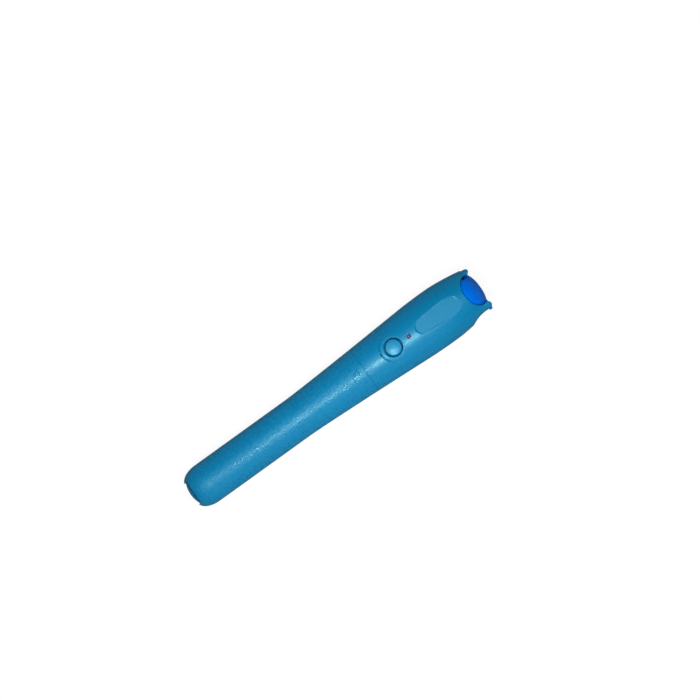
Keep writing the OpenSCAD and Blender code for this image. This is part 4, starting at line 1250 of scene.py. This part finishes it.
    def build_bezel(self, finishes: Finishes) -> None:
        """Raised ring round the button: rings of growing radius, each lifted off the skin.

        A ring's lift goes from its rear value to its front value as half a cosine of the angle.
        """
        hole, rim, sides = self.button_hole_r, self.bezel_r, self.bezel_sides
        lifts = [(hole, -2.2, -2.2), (hole, 0.05, 0.05), (hole + 0.12, 0.24, 0.18),
                 (hole + 0.3, 0.36, 0.28), (hole + 0.6, 0.4, 0.28), (rim - 0.6, 0.33, 0.13),
                 (rim - 0.3, 0.22, 0.06), (rim, 0.04, 0.0), (rim + 0.02, -0.5, -0.5),
                 (hole + 0.3, -1.2, -1.2)]
        r, rear, front = np.array(lifts).T[:, :, None]
        a = np.linspace(0.0, 2 * math.pi, sides, endpoint=False)
        lift = front + (rear - front) * (0.5 - 0.5 * np.cos(a))
        x, y = self.at.button + r * np.cos(a), r * np.sin(a)
        skin_r = self.skin.radius(x)
        under = skin_r + self.bezel_lean * (self.skin.radius(np.array(self.at.button)) - skin_r)
        z = np.sqrt(under**2 - y * y) + lift
        points = np.stack([x, y, z], axis=-1).reshape(-1, 3)
        first, last = np.arange(sides), np.arange(sides) + sides * (len(lifts) - 1)
        close = np.stack([np.roll(first, -1), first, last, np.roll(last, -1)], axis=1)
        faces = np.concatenate([grid_faces(len(lifts), sides, wrap=True), close])
        obj = make_mesh("button_ring", to_frame(points, self.at.port), faces)
        tidy(obj, 50.0)
        dress(obj, finishes.button)
        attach(obj, Body.HOUSING.value)


@dataclass(frozen=True)
class DustCap:
    """The rubber cap with its strap, pull tab and plug, and the anchor in the horn."""

    mouth: Mouth = field(default_factory=Mouth)
    at: Stations = field(default_factory=Stations)
    gap: float = 0.35
    dome_r: float = 14.78
    dome_tip: float = 207.6
    dome_depth: float = 11.63
    dome_power: float = 2.4
    channel: float = 6.8
    front_t: float = 2.0
    lobe_t: float = 5.2
    edge_x: float = 195.2
    edge_z: float = 13.6
    strap_t: float = 1.6
    knuckle_r: float = 1.35
    notch_x: float = 201.0
    notch_y: float = 8.4
    hinge_y: float = 11.75
    tab_reach: float = 14.25
    ear_t: float = 0.4
    ear_rise: float = 0.35
    web: Corners = ((199.6, 10.97, -3.9), (203.4, 12.55, 3.9))
    bend: Corners = ((202.0, 11.2, -3.9), (204.7, 12.3, 3.9))
    foot: Corners = ((199.6, 10.57, -3.9), (200.96, 12.95, 3.9))

    def dome(self, p: Array) -> Array:
        """Distance to the dome, a superellipse of radius and depth turned about the axis."""
        r = np.hypot(p[..., 1], p[..., 2]) / self.dome_r
        x = np.maximum(p[..., 0] - self.dome_tip + self.dome_depth, 0.0) / self.dome_depth
        size = (np.maximum(r, 1e-6) ** self.dome_power + x**self.dome_power) ** (1.0 / self.dome_power)
        return (size - 1.0) * self.dome_depth * 0.9

    def back(self, p: Array) -> Array:
        """Distance to the empty space behind: a channel and two hollowed faces beside it."""
        half = self.channel / 2
        root = self.dome_tip - self.lobe_t
        z = np.abs(p[..., 2])
        t = np.clip((z - half) / (self.edge_z - half), 0.0, 1.2)
        face = root + (self.edge_x - root) * t + self.dome_r * 0.4 * t * (1.0 - t)
        behind = (p[..., 0] - face) * 0.8
        inner = self.dome(p + np.array([self.front_t, 0.0, 0.0]))
        channel = both(z - half, both(inner, self.at.nose_face - 1.0 - p[..., 0]), 0.5)
        return joined(behind, channel, 0.4)

    def solid(self, p: Array) -> Array:
        """Distance to the whole cap."""
        m = self.mouth
        half = m.strap_slot / 2 - 0.3
        side = m.horn_gap / 2 - 0.6
        body = both(self.dome(p), m.opening(p, self.gap), 0.5)
        body = cut(body, self.back(p), 0.5)
        corner = np.maximum(self.notch_x - p[..., 0], self.notch_y - p[..., 1])
        body = cut(body, np.maximum(half + 0.2 - np.abs(p[..., 2]), corner), 0.4)
        hinge = self.at.hinge
        strap = block(p, (hinge - self.strap_t, side - 1.0, -half), (hinge, self.hinge_y, half), 0.2)
        roll = post(p, hinge, self.hinge_y, -half, half, self.knuckle_r, 0.25)
        x0 = m.tab_floor + 0.6
        tab = block(p, (x0, -self.tab_reach, -half), (x0 + self.strap_t, 1.0 - side, half), 0.45)
        ears = block(p, (x0, -self.tab_reach, -half - self.ear_rise),
                     (x0 + self.strap_t, self.ear_t - self.tab_reach, half + self.ear_rise), 0.2)
        plug = block(p, (m.tab_floor - m.plug_length, m.plug_y - m.plug_t, -m.plug_w / 2),
                     (x0 + 0.8, m.plug_y, m.plug_w / 2), 0.2)
        body = joined(body, joined(strap, roll, 0.5), 0.6)
        return joined(joined(body, joined(tab, ears, 0.5), 0.6), plug, 0.3)

    def anchor(self, p: Array) -> Array:
        """Distance to the part of the strap that the horn holds."""
        strap = joined(block(p, *self.web, 0.2), block(p, *self.bend, 0.3), 0.3)
        return joined(strap, block(p, *self.foot, 0.3), 0.2)

    def build(self, finishes: Finishes) -> None:
        """Meshes the cap and the anchor and dresses them."""
        step = 0.26
        axes = (graded((194.0, step), (208.2, step)), graded((-15.6, step), (13.6, step)),
                graded((-15.4, step), (15.4, step)))
        cap = moulded("rubber_dust_cap", self.solid, axes, self.at.port)
        dress(cap, finishes.cap)
        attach(cap, Body.CAP.value)
        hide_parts("dust_cap")
        step = 0.2
        axes = (graded((199.2, step), (205.2, step)), graded((10.0, step), (13.2, step)),
                graded((-4.2, step), (4.2, step)))
        anchor = moulded("strap_anchor", self.anchor, axes, self.at.port)
        dress(anchor, finishes.cap)
        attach(anchor, Body.HOUSING.value)
        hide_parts("cap_anchor")


@dataclass(frozen=True)
class ButtonGroup:
    """The button's crown and the indicator lamp."""

    at: Stations = field(default_factory=Stations)
    crown_r: float = 4.7
    crown_top: float = 17.1
    dome: float = 0.5
    edge_r: float = 0.7
    skirt: float = 0.5
    skirt_fall: float = 2.0
    flange_r: float = 6.58
    flange_top: float = 11.28
    flange_t: float = 1.1
    stem_r: float = 1.7
    stem_foot: float = 4.445
    lamp_r: float = 1.0
    lamp_top: float = 16.4
    lamp_base: float = 10.28

    def build(self, finishes: Finishes) -> None:
        """Turns the crown and the lamp and dresses them."""
        r, edge = self.crown_r, self.edge_r
        rim = self.crown_top - self.dome
        t = np.linspace(0.0, 1.0, 14)[1:]
        crown_line = np.stack([(r - edge) * (1 - t), rim + self.dome * (1 - (1 - t) ** 2)], axis=1).tolist()
        flange_foot, skirt_foot = self.flange_top - self.flange_t, rim - self.skirt_fall
        profile = [[0.0, self.stem_foot], [self.stem_r, self.stem_foot],
                   [self.stem_r, flange_foot], [self.flange_r, flange_foot],
                   *arc((self.flange_r - 0.2, self.flange_top - 0.2), 0.2, 0, 90, 3),
                   [r + self.skirt, self.flange_top], [r + self.skirt, skirt_foot],
                   [r + self.skirt * 0.6, skirt_foot + 0.5], [r, rim - edge - 0.3],
                   *arc((r - edge, rim - edge), edge, 0, 90, 8), *crown_line]
        crown = turned("button_crown", np.array(profile), "Z", self.at.port, (self.at.button, 0.0, 0.0),
                       128, 60.0)
        dress(crown, finishes.button)
        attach(crown, Body.BUTTON.value)
        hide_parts("power_button")
        r, base_r = self.lamp_r, self.lamp_r * 1.3
        low, high = self.lamp_base - r / 2, self.lamp_base + r / 2
        profile = [[0.0, low], [base_r, low], [base_r, high], [r, high],
                   *arc((0.0, self.lamp_top - r), r, 0, 90, 10)]
        lamp = turned("red_lamp", np.array(profile), "Z", self.at.port, (self.at.lamp, 0.0, 0.0), 48)
        dress(lamp, finishes.lamp)
        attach(lamp, Body.HOUSING.value)
        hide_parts("indicator_led")
        log.info("button_crown and red_lamp turned")


# Studio


@dataclass(frozen=True)
class Studio:
    """Camera, floor and lights."""

    distance: float = 1.6
    frame_width: float = 0.4063
    centre: tuple[float, float] = (-0.07741, 0.01426)
    axis_up_share: float = 0.5845
    roll_deg: float = 3.3
    key_power: float = 4.3
    crest_power: float = 0.5
    fill_power: float = 0.8
    sky: float = 0.3
    sky_in_gloss: float = 0.06
    floor_side: float = 3.0
    floor_glow: float = 0.86
    glow_strength: float = 1.06
    paper: Colour = (0.9, 0.9, 0.9, 1.0)
    pale_paper: Colour = (0.93, 0.93, 0.93, 1.0)
    paper_in_gloss: Colour = (0.05, 0.11, 0.13, 1.0)

    def camera(self) -> None:
        """Camera straight above the pen, turned so that the pen rises to the right."""
        up = self.axis_up_share
        right = math.sqrt(1.0 - up * up)
        level = Matrix(((right, -up, 0.0), (up, right, 0.0), (0.0, 0.0, 1.0)))
        roll = Matrix.Rotation(math.radians(self.roll_deg), 3, "X")
        across, upward, back = (roll @ row for row in level)
        data = bpy.data.cameras.new("camera")
        data.lens = data.sensor_width * self.distance / self.frame_width
        data.clip_end = 10.0
        cam = bpy.data.objects.new("camera", data)
        turn = Matrix((across, upward, back)).transposed().to_4x4()
        eye = Vector((self.centre[0], self.centre[1], 0.0)) + back * self.distance
        cam.matrix_world = Matrix.Translation(eye) @ turn
        bpy.context.scene.collection.objects.link(cam)
        bpy.context.scene.camera = cam

    def softbox(self, name: str, toward: Sequence[float], reach: float, size: tuple[float, float],
                power: float) -> None:
        """Area light at a distance along a direction from the pen's middle, facing it."""
        data = bpy.data.lights.new(name, "AREA")
        data.shape = "RECTANGLE"
        data.size, data.size_y = size
        data.energy = power
        lamp = bpy.data.objects.new(name, data)
        way = Vector(toward).normalized()
        middle = Vector((self.centre[0], 0.0, 0.0))
        lamp.location = middle + way * reach
        lamp.rotation_euler = way.to_track_quat("Z", "Y").to_euler()
        bpy.context.scene.collection.objects.link(lamp)

    def floor(self, level: float) -> None:
        """Pale floor that shows white to the camera and keeps the pen's shadow.

        It is dark in the pen's reflections and clear to a camera below it.
        """
        g = Graph("pale_floor_paper")
        g.set(Roughness=0.9)
        rays = g.tree.nodes.new("ShaderNodeLightPath")
        paper = g.mix(g.noise(40.0), self.paper, self.pale_paper)
        seen = g.mix(rays.outputs["Is Glossy Ray"], paper, self.paper_in_gloss)
        g.join(seen, g.shader.inputs["Base Color"])
        glow = g.tree.nodes.new("ShaderNodeEmission")
        glow.inputs["Strength"].default_value = self.glow_strength
        blend = g.tree.nodes.new("ShaderNodeMixShader")
        g.join(g.maths("MULTIPLY", rays.outputs["Is Camera Ray"], self.floor_glow), blend.inputs["Fac"])
        g.join(g.shader.outputs["BSDF"], blend.inputs[1])
        g.join(glow.outputs["Emission"], blend.inputs[2])
        under = g.tree.nodes.new("ShaderNodeNewGeometry").outputs["Backfacing"]
        clear = g.tree.nodes.new("ShaderNodeMixShader")
        g.join(g.maths("MULTIPLY", rays.outputs["Is Camera Ray"], under), clear.inputs["Fac"])
        g.join(blend.outputs["Shader"], clear.inputs[1])
        g.join(g.tree.nodes.new("ShaderNodeBsdfTransparent").outputs["BSDF"], clear.inputs[2])
        g.join(clear.outputs["Shader"], g.output.inputs["Surface"])
        side = self.floor_side
        points = np.array([[-side, -side, level], [side, -side, level],
                           [side, side, level], [-side, side, level]])
        obj = make_mesh("floor", points, np.array([[0, 1, 2, 3]]))
        obj.data.materials.append(g.material)
        obj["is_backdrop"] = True

    def world(self) -> None:
        """White surroundings, dimmer as light on the pen and dimmer still in its reflections."""
        world = bpy.data.worlds.new("studio")
        bpy.context.scene.world = world
        world.use_nodes = True
        back = world.node_tree.nodes["Background"]
        rays = world.node_tree.nodes.new("ShaderNodeLightPath")
        gloss, seen = (world.node_tree.nodes.new("ShaderNodeMapRange") for _ in range(2))
        gloss.inputs["To Min"].default_value = self.sky
        gloss.inputs["To Max"].default_value = self.sky_in_gloss
        seen.inputs["To Max"].default_value = 1.0
        for source, target in ((rays.outputs["Is Glossy Ray"], gloss.inputs["Value"]),
                               (gloss.outputs["Result"], seen.inputs["To Min"]),
                               (rays.outputs["Is Camera Ray"], seen.inputs["Value"]),
                               (seen.outputs["Result"], back.inputs["Strength"])):
            world.node_tree.links.new(source, target)
        back.inputs["Color"].default_value = (1.0, 1.0, 1.0, 1.0)

    def build(self, level: float) -> None:
        """Sets up the camera, floor, lights and view.

        Args:
            level: height of the floor in metres.
        """
        bpy.context.scene.view_settings.view_transform = "Standard"
        self.camera()
        self.floor(level)
        self.world()
        self.softbox("key_softbox", (-0.1, -0.18, 1.0), 0.9, (0.9, 1.0), self.key_power)
        self.softbox("crest_softbox", (-0.07, -0.216, 1.0), 0.28, (0.1, 0.06), self.crest_power)
        self.softbox("fill_softbox", (-0.2, -1.0, 0.5), 1.0, (0.6, 0.6), self.fill_power)


@dataclass(frozen=True)
class PowerPath:
    """Spring and two AA cells in the battery bay."""

    at: Stations = field(default_factory=Stations)
    spring_x: float = 4.6
    spring_length: float = 7.0
    wire_r: float = 0.35
    turns: int = 5
    base_r: float = 4.8
    tip_r: float = 2.8
    end_flat: float = 0.35
    fit: float = 0.03
    rings_per_turn: int = 40
    wire_sides: int = 12
    cell_r: float = 7.25
    cell_length: float = 50.5
    crimp_r: float = 0.6
    nub_r: float = 2.75
    nub_h: float = 1.3
    nub_edge_r: float = 0.35

    def spring(self) -> tuple[Array, Array]:
        """Points and faces of the wire: circles square to a helix whose radius falls along it."""
        count = self.turns * self.rings_per_turn + 1
        t = np.linspace(0.0, 1.0, count)[:, None]
        a = 2 * math.pi * self.turns * t
        r = self.base_r + (self.tip_r - self.base_r) * t
        run = self.spring_length - 2 * (self.wire_r + self.fit)
        start = self.spring_x + self.wire_r + self.fit
        # The end turns lie flatter than the others, as a closed spring's do
        climb = t - np.sin(2 * math.pi * t) / (2 * math.pi) * self.end_flat
        centre = np.concatenate([start + run * climb, r * np.cos(a), r * np.sin(a)], axis=1)
        along = np.gradient(centre, axis=0)
        along /= np.linalg.norm(along, axis=1, keepdims=True)
        out = np.concatenate([np.zeros_like(a), np.cos(a), np.sin(a)], axis=1)
        out -= (out * along).sum(axis=1, keepdims=True) * along
        out /= np.linalg.norm(out, axis=1, keepdims=True)
        side = np.cross(along, out)
        b = np.linspace(0.0, 2 * math.pi, self.wire_sides, endpoint=False)[None, :, None]
        rings = centre[:, None] + self.wire_r * (np.cos(b) * out[:, None] + np.sin(b) * side[:, None])
        faces = grid_faces(count, self.wire_sides, wrap=True)
        tips = np.array([centre[0], centre[-1]])
        ring = np.arange(self.wire_sides)
        n = np.roll(ring, -1)
        last, foot = (count - 1) * self.wire_sides, np.full_like(ring, count * self.wire_sides)
        caps = np.concatenate([np.stack([foot, n, ring, foot], axis=1),
                               np.stack([foot + 1, last + ring, last + n, foot + 1], axis=1)])
        return np.concatenate([rings.reshape(-1, 3), tips]), np.concatenate([faces, caps])

    def cell(self, name: str, x: float) -> bpy.types.Object:
        """A cell from its flat end: crimped rims at both ends of the wrap, and the nub."""
        r, end = self.cell_r, x + self.cell_length - self.nub_h
        crimp, round_r, top = self.crimp_r, self.nub_edge_r, end + self.nub_h
        profile = [[0.0, x + 0.15], [r - 2.2, x + 0.15], [r - 1.7, x],
                   *arc((r - crimp, x + crimp), crimp, -90, 0, 4), [r, x + 1.6],
                   *arc((r - crimp, end - crimp), crimp, 0, 90, 4), [r - 1.5, end], [r - 1.8, end - 0.3],
                   [self.nub_r + 0.9, end - 0.3], [self.nub_r + 0.25, end - 0.1],
                   *arc((self.nub_r - round_r, top - round_r), round_r, 0, 90, 4), [0.0, top]]
        return turned(name, np.array(profile), "X", self.at.port, sides=96)

    def build(self, finishes: Finishes) -> None:
        """Winds the spring, turns the two cells and dresses them."""
        points, faces = self.spring()
        coil = make_mesh("coil_spring", to_frame(points, self.at.port), faces)
        tidy(coil, 60.0)
        dress(coil, finishes.spring)
        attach(coil, Body.HOUSING.value)
        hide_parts("battery_spring")
        rear = self.spring_x + self.spring_length
        for name, x, node in (("rear_aa_cell", rear, "rear_cell"),
                              ("front_aa_cell", rear + self.cell_length, "front_cell")):
            cell = self.cell(name, x)
            dress(cell, CellWrap("printed_film_sleeve_" + node, start=(x - self.at.port) * MM,
                                 length=(self.cell_length - self.nub_h) * MM))
            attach(cell, Body.HOUSING.value)
            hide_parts(node)
        log.info("coil_spring and two cells made")


@dataclass(frozen=True)
class FerrulePort:
    """The ferrule adapter in the mouth: a ring behind the nose's wall, a hexagon and a tube."""

    at: Stations = field(default_factory=Stations)
    ring_t: float = 2.0
    ring_r: float = 3.0
    hex_af: float = 9.6
    hex_corner_share: float = 1.15
    hex_t: float = 3.0
    tube_r: float = 2.2
    fillet_share: float = 0.56
    rim_r: float = 0.3
    mouth_r: float = 0.2
    front: float = 202.5
    sleeve_x: float = 193.3
    sleeve_r: float = 1.6
    sleeve_fit: float = 0.03
    bore_r: float = 0.875
    sides: int = 144

    def adapter(self) -> tuple[Array, Array]:
        """Points and faces of the adapter: rings along it whose outline goes from round to a hexagon.

        At each station a direction's radius is the lesser of the ring's own radius and of a
        hexagon's flat in that direction, so the chamfers meet the flats in curved edges.

        Returns:
            Points in millimetres and quads that close through the bore.
        """
        nose, front, round_only = self.at.nose_face, self.front, 99.0
        apothem, corner = self.hex_af / 2, self.hex_af / 2 * self.hex_corner_share
        hex_end, back = nose + self.hex_t, nose - 2 * self.ring_t
        socket_r, fillet = self.sleeve_r + self.sleeve_fit, self.tube_r * self.fillet_share
        rim, lead_in = self.rim_r, self.mouth_r
        tube = [*arc((self.tube_r + fillet, hex_end + fillet), fillet, -90, -180, 6),
                *arc((self.tube_r - rim, front - rim), rim, 0, 90, 5),
                *arc((socket_r + lead_in, front - lead_in), lead_in, 90, 180, 4)]
        rows = [(self.bore_r, back, round_only), (self.ring_r, back, round_only),
                (self.ring_r, nose, round_only), (corner - 0.5, nose, apothem),
                (corner, nose + 0.3, apothem), (corner, hex_end - 0.6, apothem),
                (corner - 0.3, hex_end - 0.25, apothem), (apothem - 0.1, hex_end, apothem),
                (self.tube_r + fillet, hex_end, round_only),
                *((r, x, round_only) for r, x in tube),
                (socket_r, self.sleeve_x, round_only), (self.bore_r, self.sleeve_x, round_only)]
        table, turn = np.array(rows), math.pi / 6
        a = np.linspace(0.0, 2 * math.pi, self.sides, endpoint=False)
        off_flat = np.mod(a + turn, 2 * turn) - turn
        r = np.minimum(table[:, :1], table[:, 2:] / np.cos(off_flat)[None, :])
        x = np.broadcast_to(table[:, 1:2], r.shape)
        points = np.stack([x, r * np.cos(a + turn), r * np.sin(a + turn)], axis=-1).reshape(-1, 3)
        first = np.arange(self.sides)
        last = first + (len(rows) - 1) * self.sides
        bore = np.stack([np.roll(first, -1), first, last, np.roll(last, -1)], axis=1)
        return points, np.concatenate([grid_faces(len(rows), self.sides, wrap=True), bore])

    def build(self, finishes: Finishes) -> None:
        """Makes the adapter and dresses it."""
        points, faces = self.adapter()
        piece = make_mesh("plated_ferrule_adapter", to_frame(points, self.at.port), faces)
        tidy(piece, 28.0)
        dress(piece, finishes.nickel)
        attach(piece, Body.HOUSING.value)
        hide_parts("ferrule_adapter")
        log.info("plated_ferrule_adapter: %d faces", len(faces))


def dress_workings(nodes: dict[str, bpy.types.Object], finishes: Finishes) -> None:
    """Gives each piece that stays as the model has it the finish of what it is made of."""
    finish_of = {
        "housing_screws": finishes.steel, "rating_label": finishes.label, "switch_plunger": finishes.black,
        "tact_switch": finishes.black, "circuit_board": finishes.board, "driver_chip": finishes.black,
        "board_passives": finishes.parts, "laser_diode": finishes.gilt, "laser_barrel": finishes.brass,
        "focus_lens": finishes.lens, "lens_ring": finishes.black_aluminium, "barrel_nut": finishes.steel,
        "split_sleeve": finishes.ceramic, "front_contact": finishes.spring, "rear_contact": finishes.spring,
        "return_strip": finishes.spring,
    }
    for name, finish in finish_of.items():
        dress(nodes[name], finish)
        log.info("%s dressed as %s", name, finish.name)


def main() -> None:
    """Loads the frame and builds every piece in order."""
    logging.basicConfig(level=logging.INFO, format="%(name)s: %(message)s")
    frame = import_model()
    before = [list(corner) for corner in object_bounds()]
    finishes = Finishes()
    Studio().build(before[0][2])
    dress_workings(frame["nodes"], finishes)
    Shells().build(finishes)
    DustCap().build(finishes)
    ButtonGroup().build(finishes)
    PowerPath().build(finishes)
    FerrulePort().build(finishes)
    bpy.context.view_layer.update()


if __name__ == "__main__":
    main()
